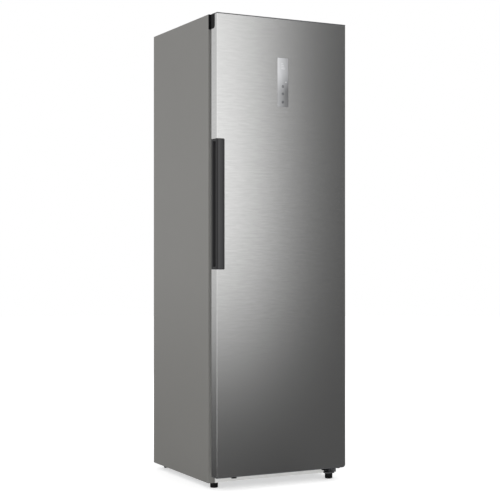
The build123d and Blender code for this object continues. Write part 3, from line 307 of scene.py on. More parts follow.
def soft_rubber(name, base):
    """Extruded rubber: dull, with a bloom and a faint grain."""
    return clouded(name, base, (30, 4), 0.16, (0.5, 0.68), 1800, 0.0001)


def drawn_metal(name, base, rough, stain=0.2):
    """Bare metal with handling marks and slight tarnish."""
    ends = rough - 0.08, rough + 0.12
    return clouded(name, base, (26, 5), stain, ends, 1400, 0.00005, 0.4, metallic=1.0)


def zinc_sheet(name, base):
    """Galvanised sheet: crystal spangles that differ in tone and gloss."""
    finish = new_finish(name)
    crystals = finish.pattern("ShaderNodeTexVoronoi", 90, output="Color")
    tone = finish.node("ShaderNodeSeparateColor", inputs={0: crystals})
    cloud = finish.noise(9, 4)
    return finish.close(
        tone=(base, tone * 0.5 + cloud * 0.5, 0.12), gloss=(tone, 0.38, 0.55),
        relief=(cloud, 0.0002, 0.4), metallic=0.5,
    )


def clear_plastic(name, base, solid=0.2):
    """Clear moulded plastic: mostly see-through, with flow clouds and rims that gather light."""
    finish = new_finish(name)
    cloud = finish.noise(8, 3)
    solidity = finish.between(finish.attribute("rim"), solid, 0.8) + cloud * 0.06
    return finish.close((base, cloud, 0.06), (cloud, 0.06, 0.14), alpha=solidity, ior=1.5)


def shelf_glass(name, base, rim_colour, low, high):
    """Toughened glass: faint in the pane, with the green of its depth close to each cut edge."""
    finish = new_finish(name)
    deep, rim = finish.axis("Y"), 1.5 * MM
    ends = (deep > high[1] - rim).either(deep < low[1] + rim)
    edge = (abs(finish.axis("X")) > high[0] - rim).either(ends)
    return finish.close(
        gloss=(finish.noise(5), 0.03, 0.06), base_color=finish.mix(edge, base, rim_colour),
        alpha=finish.between(edge, 0.16, 0.8), ior=1.52,
    )


def insulation(name, base):
    """Rigid foam, seen only from a cut edge: pale yellow with small cells."""
    finish = new_finish(name)
    cells = finish.pattern("ShaderNodeTexVoronoi", 1600, output="Distance")
    return finish.close(tone=(base, cells, 0.3), relief=(cells, 0.0004, 0.6), roughness=0.9)


def glowing_lens(name, base):
    """Frosted lamp lens with a low glow."""
    finish = new_finish(name)
    ribs = finish.noise(40, stretch=(1, 30, 1))
    return finish.close(
        tone=(base, ribs, 0.05), gloss=(ribs, 0.25, 0.4),
        emission_color=finish.shade((1.0, 0.98, 0.94), ribs, 0.1), emission_strength=0.5,
    )


def display_print_painted_reflection(name, base, low, high):
    """Silver print under clear glass, with a painted reflection: palest at its upper left, deeper
    to the right and down.
    """
    finish = new_finish(name)
    right = (finish.axis("X") - low[0]) * (1 / (high[0] - low[0]))
    down = (high[2] - finish.axis("Z")) * (1 / (high[2] - low[2]))
    # painted reflection: the silver darkens by up to 0.76 to the right and towards the bottom
    share = right * 0.55 + finish.smooth(down, 0.25, 0.8) * 0.56 + 0.04
    return finish.close(
        tone=(base, share, 0.76), gloss=(finish.noise(1500), 0.3, 0.36),
        coat_weight=1.0, coat_roughness=0.04,
    )


def handle_finish(name, base, front):
    """Dark profile: a dull moulded side and a glossy coated strip on the front, whose colour is
    painted lighter than the side's as painted light.
    """
    finish = new_finish(name)
    strip_deep, strip_start = mm(4, 6)
    coated_and_painted_lit_strip = finish.axis("Y") < front[1] + strip_deep
    coated_and_painted_lit_strip = coated_and_painted_lit_strip * (finish.axis("X") > front[0] + strip_start)
    cloud = finish.noise(20, 3)
    # painted light: the front strip's colour is half as light again as the side's
    bright = tuple(part * 1.5 for part in base)
    return finish.close(
        gloss=(cloud, 0.3, 0.38), relief=(finish.noise(2000), 0.00004, 0.4), ior=1.2,
        base_color=finish.mix(coated_and_painted_lit_strip * 0.85 + cloud * 0.15, base, bright),
        coat_weight=coated_and_painted_lit_strip, coat_roughness=0.15,
    )


def soft_step(value, start, end):
    """0 before start and 1 after end, with the cubic three t squared less two t cubed between."""
    share = np.clip((value - start) / (end - start), 0, 1)
    return share * share * (3 - 2 * share)


def fall_back(radius, inside):
    """How far a quarter circle of that radius falls back at a distance inside its edge."""
    return radius - np.sqrt(radius ** 2 - np.clip(radius - inside, 0, radius) ** 2)


def arc(centre, radius, start, end, steps=5):
    """Points of a circle from one angle to another, in degrees, as (inset or radius, height)."""
    angle = np.radians(np.linspace(start, end, steps))
    turn = np.stack([np.cos(angle), np.sin(angle)], axis=-1)
    return np.array(centre) + radius * turn


def beside(rows, *parts):
    """Numbers, rows and columns joined side by side into a grid of that many rows."""
    parts = [np.atleast_2d(part) for part in parts]
    return np.concatenate([np.broadcast_to(part, (rows, part.shape[1])) for part in parts], 1)


def points_at(across, deep, up):
    """A grid of points from its coordinates, each of which broadcasts to the grid."""
    return np.stack(np.broadcast_arrays(across, deep, up), axis=-1)


def loft(grid, closed_rows=False, capped=True):
    """A surface through the rings of a grid, with a face over its first and last ring.

    Each quad joins a point, its neighbour in the ring, and the two above them.
    """
    rows, columns = grid.shape[:2]
    row = np.arange(rows if closed_rows else rows - 1)[:, None]
    column = np.arange(columns)
    above, beyond = (row + 1) % rows * columns, (column + 1) % columns
    row = row * columns
    quads = np.stack([row + column, row + beyond, above + beyond, above + column], axis=-1)
    faces = quads.reshape(-1, 4).tolist()
    if capped and not closed_rows:
        last = (rows - 1) * columns
        faces += [list(range(columns))[::-1], list(range(last, last + columns))]
    return grid.reshape(-1, 3), faces


WAYS = {
    "up": np.array([(1, 0, 0), (0, 1, 0), (0, 0, 1)]),
    "front": np.array([(1, 0, 0), (0, 0, -1), (0, 1, 0)]),
    "back": np.array([(-1, 0, 0), (0, 0, 1), (0, 1, 0)]),
    "right": np.array([(0, 0, 1), (1, 0, 0), (0, 1, 0)]),
}


def turned(grid, way, origin):
    """The grid's points turned so that their height runs that way, and moved to the origin."""
    return grid @ WAYS[way].T + np.array(origin)


def outline_grid(half_x, half_y, corners, profile, steps):
    """Rounded rectangles, one a row: in each quadrant a quarter circle about its own centre.

    A profile row is (inset, height): the outline is drawn in by the inset and lifted to the
    height.
    """
    profile, smallest = np.asarray(profile, float), 0.4 * MM
    inset, height = profile[:, :1], profile[:, 1:]
    quadrant = np.repeat(np.arange(4), steps)
    turn = (quadrant + np.tile(np.linspace(0, 1, steps), 4)) * math.pi / 2
    radius = np.maximum(np.broadcast_to(corners, 4)[quadrant] - inset, smallest)
    side_x = np.where((quadrant == 0) | (quadrant == 3), 1, -1)
    side_y = np.where(quadrant < 2, 1, -1)
    across = side_x * (half_x - inset - radius) + radius * np.cos(turn)
    along = side_y * (half_y - inset - radius) + radius * np.sin(turn)
    return points_at(across, along, height)


def lathe_grid(profile, sides, flutes=0, flute_depth=0.0):
    """A profile of (radius, height) turned round: radius times cosine and sine of the angle.

    Flutes take depth times half of one plus the cosine of flutes times the angle off the radius.
    """
    profile = np.asarray(profile, float)
    angle = np.arange(sides) * 2 * math.pi / sides
    cut = flute_depth * (0.5 + 0.5 * np.cos(flutes * angle)) * (flutes > 0)
    radius = profile[:, :1] - cut
    return points_at(radius * np.cos(angle), radius * np.sin(angle), profile[:, 1:])


def spun(profile, way, place, sides=32, hollow=False, **grip):
    """A turned surface on a place, either closed over its ends or hollow like a ring."""
    return loft(turned(lathe_grid(profile, sides, **grip), way, place), hollow)


def block(low, high, way, edge, corner):
    """A rounded block between two corners, with its top and bottom edges rounded over."""
    low, high = np.array(low, float), np.array(high, float)
    half = np.abs(WAYS[way].T @ (high - low) / 2)
    profile = np.concatenate([
        arc((edge, edge - half[2]), -edge, 90, 0, 4), arc((edge, half[2] - edge), -edge, 0, -90, 4),
    ])
    return loft(turned(outline_grid(half[0], half[1], corner, profile, 5), way, (low + high) / 2))


def bent_path(points, bend, steps=6):
    """A path of straight runs with each corner replaced by a curve.

    A corner's curve is its quadratic: the start, the corner and the end, weighted by the squares
    and twice the product of how far along it is and how far is left.
    """
    points = [np.array(point, float) for point in points]
    path, share = [points[:1]], np.linspace(0, 1, steps)[:, None]
    for before, corner, after in zip(points, points[1:], points[2:]):
        start, end = (
            corner + (other - corner) / np.linalg.norm(other - corner) * bend
            for other in (before, after)
        )
        left = 1 - share
        path.append(left ** 2 * start + 2 * share * left * corner + share ** 2 * end)
    return np.concatenate([*path, points[-1:]])


def tube_grid(path, radius, sides=14, hint=(0.31, 0.23, 0.92)):
    """A circle carried along a path: each ring lies across the path's direction there."""
    way = np.gradient(path, axis=0)
    way /= np.linalg.norm(way, axis=1, keepdims=True)
    first = np.cross(way, np.array(hint))
    first /= np.linalg.norm(first, axis=1, keepdims=True)
    second = np.cross(way, first)
    angle = (np.arange(sides) * 2 * math.pi / sides)[:, None]
    ring = np.cos(angle) * first[:, None] + np.sin(angle) * second[:, None]
    return path[:, None] + radius * ring


def new_object(name, points, faces, material):
    """A mesh object in the scene, with one material."""
    mesh = bpy.data.meshes.new(name)
    mesh.from_pydata(points.tolist(), [], faces)
    mesh.materials.append(material)
    made = bpy.data.objects.new(name, mesh)
    bpy.context.scene.collection.objects.link(made)
    return made


def spread(mesh, name, values):
    """A value for each point of a mesh, which a finish reads by its name."""
    mesh.attributes.new(name, "FLOAT", "POINT").data.foreach_set("value", values)


def piece(name, body, material, patches, replaces=(), sharp=38, rims=None):
    """One object from several patches, riding a body and taking the given material.

    The rims, one array for each patch, say how much of a rim each point is, from 0 to 1.
    """
    faces, start = [], 0
    for patch_points, patch_faces in patches:
        faces += [[index + start for index in face] for face in patch_faces]
        start += len(patch_points)
    points = np.concatenate([patch_points for patch_points, patch_faces in patches])
    made = new_object(name, points, faces, material)
    made.data.shade_smooth()
    made.data.set_sharp_from_angle(angle=math.radians(sharp))
    if rims:
        spread(made.data, "rim", np.concatenate(rims))
    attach(made, body)
    if replaces:
        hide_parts(*replaces)


def paint_nodes(material, slot, *names):
    """Give carried frame nodes this material; the slot is not used."""
    for name in names:
        NODES[name].data.materials.clear()
        NODES[name].data.materials.append(material)


def corners_of(node):
    """A node's lowest and highest corner as arrays, in metres."""
    low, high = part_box(node)
    return np.array(low), np.array(high)


class FRIDGE_OT_cabinet(bpy.types.Operator):
    """Finish the painted wrap, the plinth, the galvanised back and floor, and the foam"""

    bl_idname = "fridge.cabinet"
    bl_label = "Cabinet"

    def execute(self, context):
        colours = context.scene.fridge_colours
        paint_nodes(coated_sheet("cabinet_paint", colours.paint), "cabinet_paint", "cabinet_shell")
        zinc = zinc_sheet("zinc_sheet", colours.zinc)
        paint_nodes(zinc, "zinc_sheet", "back_panel", "base_pan", "compressor_plate")
        paint_nodes(insulation("foam", colours.foam), "foam", "cabinet_foam", "door_foam")
        plinth = moulded_plastic("plinth_plastic", colours.plinth, 0.4)
        paint_nodes(plinth, "plinth_plastic", "front_plinth")
        return {"FINISHED"}


class FRIDGE_OT_liner(bpy.types.Operator):
    """Finish the white lining, the air duct and the lamp"""

    bl_idname = "fridge.liner"
    bl_label = "Lining, duct and lamp"

    def execute(self, context):
        colours = context.scene.fridge_colours
        white = white_lining("white_liner", colours.liner)
        paint_nodes(white, "white_liner", "inner_liner", "door_liner", "duct_cover")
        paint_nodes(glowing_lens("lamp_lens", colours.liner), "lamp_lens", "light_lens")
        return {"FINISHED"}


def ramp_grid(middle, base, crest, foot, brow, tail):
    """A moulded ramp at the end of a door tower: its chamfered section carried up the door.

    The section's height grows from the base to the crest as soft_step of the place from foot to
    brow, and stays at the crest from there to the tail.
    """
    half, chamfer, sunk, start = mm(6.2, 3, 3, 0.4)
    rise = np.concatenate([np.linspace(foot, brow, 14), [tail]])[:, None]
    height = base + start + (crest - base - start) * soft_step(rise, foot, brow)
    trim = np.minimum(chamfer, (height - base) / 2)
    left, right, below = middle - half, middle + half, base - sunk
    across = beside(len(rise), left, right, right, right - trim, left + trim, left)
    deep = beside(len(rise), below, below, height - trim, height, height, height - trim)
    return points_at(across, deep, rise)


class FRIDGE_OT_towers(bpy.types.Operator):
    """Mould the ramps that close both ends of the two towers on the door's inside"""

    bl_idname = "fridge.towers"
    bl_label = "Tower ramps"

    def execute(self, context):
        white = white_lining("tower_liner", context.scene.fridge_colours.liner)
        tower, proud, deep, both_ends = mm(232.5, 0.1, 33, 1960)
        foot, brow, tail = mm(108.5, 116.5, 122)
        crest = corners_of("door_liner")[1][1] + proud
        patches = []
        for side in (-1, 1):
            lower = ramp_grid(side * tower, crest - deep, crest, foot, brow, tail)
            upper = lower[::-1] * (1, 1, -1) + (0, 0, both_ends)
            patches += [loft(lower), loft(upper)]
        piece("tower_ramps", "door", white, patches)
        return {"FINISHED"}


class FRIDGE_OT_shelves(bpy.types.Operator):
    """Finish the glass panes, their strips and the bottle rack"""

    bl_idname = "fridge.shelves"
    bl_label = "Shelves"

    def execute(self, context):
        colours = context.scene.fridge_colours
        panes = [f"shelf_glass_{number}" for number in range(1, 5)]
        for name, nodes in (("shelf_glass", panes), ("crisper_glass_edge", ["crisper_glass"])):
            corners = corners_of(nodes[0])
            glass = shelf_glass(name, colours.glass, colours.glass_rim, *corners)
            paint_nodes(glass, "shelf_glass", *nodes)
        strips = [f"shelf_trims_{number}" for number in range(1, 5)]
        satin = moulded_plastic("shelf_trim", colours.trim, 0.32)
        paint_nodes(satin, "shelf_trim", "crisper_trims", "bottle_rack", *strips)
        return {"FINISHED"}


def tub_profile(tall, wall, draft, bead, edge):
    """(inset, height, rim) round a drafted tub: up the outside, over a beaded rim, down the inside.

    At a height the outside stands in by the tangent of the draft times the drop from the rim. The
    third value is 1 on the rim and on the turn of the foot, where clear plastic gathers light.
    """
    slope, lip, fine = math.tan(math.radians(draft)), 3.2 * edge, 0.6 * edge
    foot, near, under_rim = mm(3, 2, 5)
    under = tall - lip - bead
    rise = np.array([foot + near, under - near, under])
    drop = np.array([tall - under_rim, wall + foot + near])
    rim = np.concatenate([
        [(-bead, tall - lip)],
        arc((edge - bead, tall - edge), -edge, 0, -90),
        arc((wall - fine, tall - fine), fine, 90, 0, 4),
    ])
    return np.concatenate([
        np.insert(arc((slope * tall + foot, foot), -foot, 90, 0), 2, 0.6, axis=1),
        np.stack([slope * (tall - rise), rise, [0, 0, 1]], axis=-1),
        np.insert(rim, 2, 1, axis=1),
        np.stack([slope * (tall - drop) + wall, drop, [0, 0]], axis=-1),
        np.insert(arc((slope * tall + wall + foot, wall + foot), -foot, 0, 90), 2, 0.4, axis=1),
    ])


def tub(low, high, corners, sizes, draft):
    """A drafted tub with a beaded rim, between two corners at its rim, and its rim values."""
    middle, half = (low + high) / 2, (high - low) / 2
    profile = tub_profile(high[2] - low[2], sizes.tub_wall, draft, sizes.bead, sizes.edge)
    grid = outline_grid(half[0], half[1], corners, profile[:, :2], 8)
    rims = np.repeat(profile[:, 2], grid.shape[1])
    return loft(turned(grid, "up", (middle[0], middle[1], low[2]))), rims


class FRIDGE_OT_bins(bpy.types.Operator):
    """Mould the door bins: drafted clear tubs with beaded rims and side lugs"""

    bl_idname = "fridge.bins"
    bl_label = "Door bins"

    def execute(self, context):
        clear = clear_plastic("clear_plastic", context.scene.fridge_colours.clear)
        reach, root, front, back, drop, tall = mm(6.1, 1.2, 34, 64, 30, 5)
        edge, corner, corners, draft = 0.8 * MM, 1.5 * MM, mm(28, 28, 3, 3), 1.2
        for number in range(1, 6):
            low, high = corners_of(f"door_bin_{number}")
            rim = low + (reach, 0, 0), high - (reach, 0, 0)
            shell, rims = tub(*rim, corners, context.scene.fridge_sizes, draft)
            foot = high[2] - drop
            lugs = [
                block((near, low[1] + front, foot), (far, low[1] + back, foot + tall),
                      "up", edge, corner)
                for near, far in ((low[0], rim[0][0] + root), (rim[1][0] - root, high[0]))
            ]
            rims = [rims, *[np.ones(len(points)) for points, faces in lugs]]
            piece(f"bin_{number}", "door", clear, [shell, *lugs],
                  (f"door_bin_{number}",), rims=rims)
        return {"FINISHED"}


def drawer_nose(low, high):
    """The drawer's front carried across its width: a section of the front as a function of x.

    The section is a thick panel with a rolled lip. The panel is scooped under the lip by the cosine
    of the place across, so the scoop is deepest in the middle and gone at both sides.
    """
    half = (high[0] - low[0]) / 2
    x = half * np.sin(np.linspace(-1, 1, 41) * math.pi / 2)[:, None]
    edge, foot_round, lip_zone, scooped, lip_deep, lip_tall, lift = mm(1, 1.5, 16, 6, 4.2, 5.2, 2)
    lip, (front, back) = low[1], low[1] + mm(3, 12)
    foot, top = low[2] + lift, high[2]
    climb = np.linspace(0, 1, 12)
    face_z = foot + foot_round + climb * (top - foot - lip_zone)
    bell = np.sin(np.clip((climb - 0.45) / 0.55, 0, 1) * math.pi) ** 2
    face_y = front + edge + scooped * np.clip(np.cos(x / half * math.pi), 0, 1) * bell
    turn = np.radians(np.linspace(-20, 150, 9))
    lip_y = lip + lip_deep - lip_deep * np.sin(turn)
    lip_z = top - lip_tall - lip_tall * np.cos(turn)
    rim_y = [back - 2 * edge, back, back, back - edge, front + 2.4 * edge]
    rim_z = [top, top - foot_round, foot + edge, foot, foot]
    deep = beside(len(x), face_y, lip_y, rim_y)
    return points_at(x + (low[0] + high[0]) / 2, deep, beside(len(x), face_z, lip_z, rim_z))


class FRIDGE_OT_drawers(bpy.types.Operator):
    """Mould the two drawers: clear tubs with a thick front and a finger lip"""

    bl_idname = "fridge.drawers"
    bl_label = "Drawers"

    def execute(self, context):
        sizes = context.scene.fridge_sizes
        clear = clear_plastic("drawer_plastic", context.scene.fridge_colours.clear, 0.22)
        nose_deep, below, corner, lip_foot, lip_top = mm(10, 1, 14, 26, 16)
        for name, body in (("lower_drawer", "low_drawer"), ("upper_drawer", "high_drawer")):
            low, high = corners_of(name)
            rim_low = low + (sizes.bead, nose_deep, 0)
            shell, rims = tub(rim_low, high - (sizes.bead, sizes.bead, below), corner, sizes, 2.0)
            nose = loft(drawer_nose(low, high))
            near_top = soft_step(nose[0][:, 2], high[2] - lip_foot, high[2] - lip_top)
            piece(f"{name}_tub", body, clear, [shell, nose], (name,),
                  rims=[rims, 0.25 + 0.75 * near_top])
        return {"FINISHED"}


class FRIDGE_OT_door(bpy.types.Operator):
    """Finish the brushed skin, the end caps and the black pieces, and close two bare corners"""

    bl_idname = "fridge.door"
    bl_label = "Door"

    def execute(self, context):
        colours = context.scene.fridge_colours
        paint_nodes(brushed_steel("door_steel", colours.steel), "door_steel", "door_skin")
        black = moulded_plastic("black_plastic", colours.black, 0.5, ior=1.2)
        cap = moulded_plastic("cap_plastic", colours.cap, 0.4)
        paint_nodes(cap, "black_plastic", "door_top_cap", "door_bottom_cap")
        paint_nodes(black, "black_plastic", "corner_filler", "flange_blank", "door_stops",
                    "hinge_bushes", "display_module")
        self.corner_cover(cap)
        self.pocket_lining(black)
        return {"FINISHED"}

    def corner_cover(self, cap):
        """The end cap's turn round the door's lower corner: two arcs carried through its depth."""
        low, high = corners_of("door_skin")
        radius, proud, sunk, flange = mm(14, 0.15, 0.6, 2)
        centre = (high[0] - radius, corners_of("door_bottom_cap")[0][2] + radius)
        ring = np.concatenate([
            arc(centre, radius + proud, -20, -47, 8), arc(centre, radius - sunk, -47, -20, 8),
        ])
        deep = np.array([[low[1] + proud], [high[1] + flange - proud]])
        grid = points_at(ring[:, 0], deep, ring[:, 1])
        piece("corner_cover", "door", cap, [loft(grid)])

    def pocket_lining(self, black):
        """Two thin walls over the bush, which close the foam beside the upper hinge's arm."""
        low, high = corners_of("hinge_bushes")
        skin = corners_of("door_skin")[1]
        pocket, thick, edge = mm(23.5, 0.2, 0.05)
        start = (high[0] - pocket, low[1], high[2])
        ends = (high[0] - thick, low[1] + thick), (start[0] + thick, skin[1])
        walls = [block(start, (*end, skin[2]), "up", edge, edge) for end in ends]
        piece("pocket_lining", "door", black, walls)


def handle_grid(low, high):
    """The handle's plan section carried up its height, as a function of place round it and height.

    The front falls back by the square of the place across it, up to a proud right strip, and its
    left edge is a quarter circle. The right edge draws in near each end as the quarter circle of
    the hole's corner does. The finger groove's points lie on the flat side at the ends, and move
    into the groove with soft_step.
    """
    wide, tall = high[0] - low[0], high[2] - low[2]
    edge, corner, fall, end_fall, end_zone = mm(3, 5, 2.2, 0.8, 2.5)
    ends, crown = mm(0, 0.4, 1.2, 2.5, 5, 10, 11, 12.5, 14, 15), 0.92
    rise = np.concatenate([ends, [tall / 2], tall - ends[::-1]])[:, None]
    from_end = np.minimum(rise, tall - rise)
    width = wide - fall_back(corner, from_end)
    share = np.concatenate([
        [0, 0.01, 0.03, 0.06], np.linspace(0.1, crown, 14), [0.935, 0.95, 0.99, 1.0],
    ])
    across = share * width
    dished = fall * (share / crown) ** 2 * (share <= crown)
    end_round = end_fall * (1 - soft_step(from_end, 0, end_zone))
    front_y = low[1] + fall_back(edge, across) + dished + end_round
    groove_start, groove_full, groove_deep, wall_in, wall_on, wall_out = mm(10, 14, 20, 8, 23, 3)
    mouth_back, mouth_front = low[1] + mm(40, 12)
    side = np.linspace(0, 1, 24)
    into, along, out = (np.clip(side * 3 - third, 0, 1) for third in range(3))
    groove = soft_step(from_end, groove_start, groove_full)
    side_x = low[0] + groove_deep * np.sin(np.minimum(into, 1 - out) * math.pi / 2) * groove
    flat_y = mouth_back + (mouth_front - mouth_back) * side
    wall_y = mouth_back - wall_in * into - wall_on * along + wall_out * out
    side_y = flat_y + (wall_y - flat_y) * groove
    ring_x = beside(len(rise), low[0], side_x, low[0] + across, low[0] + width)
    ring_y = beside(len(rise), high[1], side_y, front_y, high[1])
    return points_at(ring_x, ring_y, low[2] + rise)


class FRIDGE_OT_handle(bpy.types.Operator):
    """Make the dark handle profile, with its crowned front and the closed-ended finger groove"""

    bl_idname = "fridge.handle"
    bl_label = "Handle"

    def execute(self, context):
        low, high = corners_of("handle_profile")
        # the handle's finish paints light onto its front strip
        dark = handle_finish("handle_plastic", context.scene.fridge_colours.handle, low)
        shape = loft(handle_grid(low, high))
        piece("handle", "door", dark, [shape], ("handle_profile",), 30)
        return {"FINISHED"}


class FRIDGE_OT_display(bpy.types.Operator):
    """Make the display: a glass face with rounded edges, touch keys and a plain bar scale"""

    bl_idname = "fridge.display"
    bl_label = "Display"

    def execute(self, context):
        colours, sizes = context.scene.fridge_colours, context.scene.fridge_sizes
        low, high = corners_of("display_lens")
        gap, sunk, edge, corner, depth, print_depth = mm(0.15, 0.2, 0.4, 1.2, 1.6, 0.1)
        face_y = low[1] + sunk
        face = block(
            (low[0] + gap, face_y, low[2] + gap), (high[0] - gap, face_y + depth, high[2] - gap),
            "front", edge, corner,
        )
        # the display's silver carries a painted reflection, palest at its upper left
        silver = display_print_painted_reflection("display_lens", colours.silver, low, high)
        piece("display_face", "door", silver, [face], ("display_lens",))
        ink = moulded_plastic("display_keys", colours.ink, 0.3)
        outer, inner, dot = sizes.key, sizes.key * 0.7, sizes.key * 0.4
        ring = [(outer, 0), (outer, print_depth), (inner, print_depth), (inner, 0)]
        keys = []
        for drop in mm(116, 146, 180):
            centre = (0, face_y, high[2] - drop)
            keys += [spun(ring, "front", centre, 36, True),
                     spun([(dot, 0), (dot, print_depth)], "front", centre, 20)]
        piece("display_keys", "door", ink, keys)
        white = moulded_plastic("display_marks", colours.marks, 0.3)
        left, first, pitch, tall, bar_edge, bar_corner = mm(-8, 22, 7, 2.4, 0.08, 0.8)
        dot, dot_x, dot_drop = mm(2.2, 14, 98)
        marks = []
        for step, long in enumerate(mm(9, 12, 15, 18)):
            top = high[2] - first - pitch * step
            near, far = face_y - print_depth, face_y + print_depth
            bar = (left, near, top - tall), (left + long, far, top)
            marks.append(block(*bar, "front", bar_edge, bar_corner))
        place = (dot_x, face_y, high[2] - dot_drop)
        marks.append(spun([(dot, 0), (dot, print_depth)], "front", place, 20))
        piece("display_marks", "door", white, marks)
        return {"FINISHED"}


class FRIDGE_OT_seal(bpy.types.Operator):
    """Make the magnetic seal: a bellows profile run round the door with rounded corners"""

    bl_idname = "fridge.seal"
    bl_label = "Door seal"

    def execute(self, context):
        low, high = corners_of("door_gasket")
        middle, half = (low + high) / 2, (high - low) / 2
        deep, (wide, fold_depth, face_edge, corner) = high[1] - low[1], mm(16, 2.2, 1.2, 6)
        share = np.linspace(0, 1, 24)
        turns = 2 * math.pi * context.scene.fridge_sizes.seal_folds
        wave = fold_depth * (0.5 - 0.5 * np.cos(turns * share))
        rise = face_edge + share * (deep - 2 * face_edge)
        outer = np.stack([wave, rise], axis=-1)
        inner = np.stack([wide - wave[::-1], rise[::-1]], axis=-1)
        front_face = [(face_edge, deep), (wide - face_edge, deep)]
        back_face = [(wide - face_edge, 0), (face_edge, 0)]
        profile = np.concatenate([outer, front_face, inner, back_face])
        grid = outline_grid(half[0], half[2], corner, profile, 5)
        ring = loft(turned(grid, "back", (middle[0], low[1], middle[2])), True)
        rubber = soft_rubber("seal_rubber", context.scene.fridge_colours.seal)
        piece("door_seal", "door", rubber, [ring], ("door_gasket",), 50)
        return {"FINISHED"}


class FRIDGE_OT_hinges(bpy.types.Operator):
    """Finish the hinges and their screws"""

    bl_idname = "fridge.hinges"
    bl_label = "Hinges and screws"

    def execute(self, context):
        colours = context.scene.fridge_colours
        painted = coated_sheet("hinge_steel", colours.hinge, 0.35)
        paint_nodes(painted, "hinge_steel", "upper_hinge", "lower_hinge")
        bright = drawn_metal("screw_steel", colours.screw, 0.28)
        paint_nodes(bright, "screw_steel", "hinge_screws")
        return {"FINISHED"}


class FRIDGE_OT_feet(bpy.types.Operator):
    """Make the levelling feet: fluted grips with rounded soles on threaded studs"""

    bl_idname = "fridge.feet"
    bl_label = "Levelling feet"

    def execute(self, context):
        colours, flutes = context.scene.fridge_colours, context.scene.fridge_sizes.flutes
        black = moulded_plastic("foot_plastic", colours.black, 0.42)
        zinc = drawn_metal("stud_steel", colours.stud, 0.32)
        radius, tall, sole, border, top_edge, flute = mm(16, 22.6, 3.5, 6, 0.6, 0.3)
        stud_radius, thread, pitch, overlap = mm(5, 0.5, 1.5, 2)
        profile = np.concatenate([
            [(radius - border, 0)],
            arc((radius - sole, sole), sole, -90, 0, 6),
            arc((radius - top_edge, tall - top_edge), top_edge, 0, 90, 4),
            [(stud_radius, tall)],
        ])
        for side in ("left", "right"):
            low, high = corners_of(f"front_foot_{side}")
            place = (*(low + high)[:2] / 2, 0)
            grip = spun(profile, "up", place, 96, flutes=flutes, flute_depth=flute)
            piece(f"foot_grip_{side}", f"{side}_foot", black, [grip],
                  (f"front_foot_{side}",))
            rise = np.arange(tall - overlap, high[2], pitch / 2)
            tooth = stud_radius - thread * (np.arange(len(rise)) % 2)
            stud = spun(np.stack([tooth, rise], axis=-1), "up", place, 24)
            piece(f"foot_stud_{side}", f"{side}_foot", zinc, [stud])
        return {"FINISHED"}


class FRIDGE_OT_rollers(bpy.types.Operator):
    """Make the rear rollers: moulded wheels with a grooved tread and a recessed web"""

    bl_idname = "fridge.rollers"
    bl_label = "Rear rollers"

    def execute(self, context):
        black = moulded_plastic("roller_plastic", context.scene.fridge_colours.black, 0.45)
        radius, bore, hub, web, edge, rim, slant, taper = mm(15, 3.1, 6, 3, 1.5, 3.4, 0.6, 0.5)
        groove, groove_half, tread_half = mm(0.8, 2, 3)
        for side in ("left", "right"):
            low, high = corners_of(f"rear_roller_{side}")
            end = (low[0] - high[0]) / 2
            flank = np.concatenate([
                [(bore, end), (hub, end), (hub + taper, end + web),
                 (radius - rim - slant, end + web), (radius - rim, end)],
                arc((radius - edge, end + edge), edge, -90, 0, 4),
                [(radius, -tread_half), (radius - groove, -groove_half)],
            ])
            profile = np.concatenate([flank, flank[::-1] * (1, -1)])
            wheel = spun(profile, "right", (low + high) / 2, 48, True)
            piece(f"roller_{side}", f"{side}_roller", black, [wheel],
                  (f"rear_roller_{side}",))
        return {"FINISHED"}


class FRIDGE_OT_compressor(bpy.types.Operator):
    """Make the compressor: a drawn can with its weld flange and domed lid, mounts and bolts"""

    bl_idname = "fridge.compressor"
    bl_label = "Compressor"

    def execute(self, context):
        colours = context.scene.fridge_colours
        low, high = corners_of("compressor")
        half_x, half_y, corner, plate, plate_edge, plate_corner = mm(78, 74, 60, 3, 0.9, 12)
        belly, flange, flange_tall, edge, lid, lid_rise = mm(14, 3, 5, 1, 0.8, 0.6)
        dome_wide, dome_tall = mm(46, 30)
        plate_top = low[2] + plate
        tall = high[2] - plate_top
        seam, turn = tall * 0.52, np.radians(np.linspace(0, 78, 12))
        dome = [lid + dome_wide * (1 - np.cos(turn)), tall - dome_tall + dome_tall * np.sin(turn)]
        profile = np.concatenate([
            arc((belly, belly), -belly, 90, 0, 7),
            [(0, seam - edge)],
            arc((edge - flange, seam + edge), -edge, 90, 0, 3),
            arc((edge - flange, seam + flange_tall - edge), -edge, 0, -90, 3),
            [(lid, seam + flange_tall + lid_rise)],
            np.stack(dome, axis=-1),
        ])
        can = outline_grid(half_x, half_y, corner, profile, 14)
        can = loft(turned(can, "up", (*(low + high)[:2] / 2, plate_top)))
        foot = block(low, (*high[:2], plate_top), "up", plate_edge, plate_corner)
        enamel = coated_sheet("compressor_paint", colours.motor, 0.3, 0.2, 0.0001)
        piece("compressor_can", "cabinet", enamel, [can, foot], ("compressor",))
        base, top = corners_of("compressor_mounts")
        inset = 11 * MM
        waist = np.array([(11, 0), (11, 2.5), (8.4, 4), (8.4, 8), (11, 9.5), (11, 12)]) * MM
        hexagon = np.array([(4.4, 0), (5, 0.3), (5, 3.2), (4.2, 3.8)]) * MM
        places = [(x, y) for x in (base[0] + inset, top[0] - inset)
                  for y in (base[1] + inset, top[1] - inset)]
        mounts = [spun(waist, "up", (*place, base[2])) for place in places]
        bolts = [spun(hexagon, "up", (*place, plate_top), 6) for place in places]
        rubber = soft_rubber("mount_rubber", colours.mount)
        piece("rubber_mounts", "cabinet", rubber, mounts, ("compressor_mounts",))
        bright = drawn_metal("bolt_steel", colours.bolt, 0.3)
        piece("mount_bolts", "cabinet", bright, bolts)
        return {"FINISHED"}


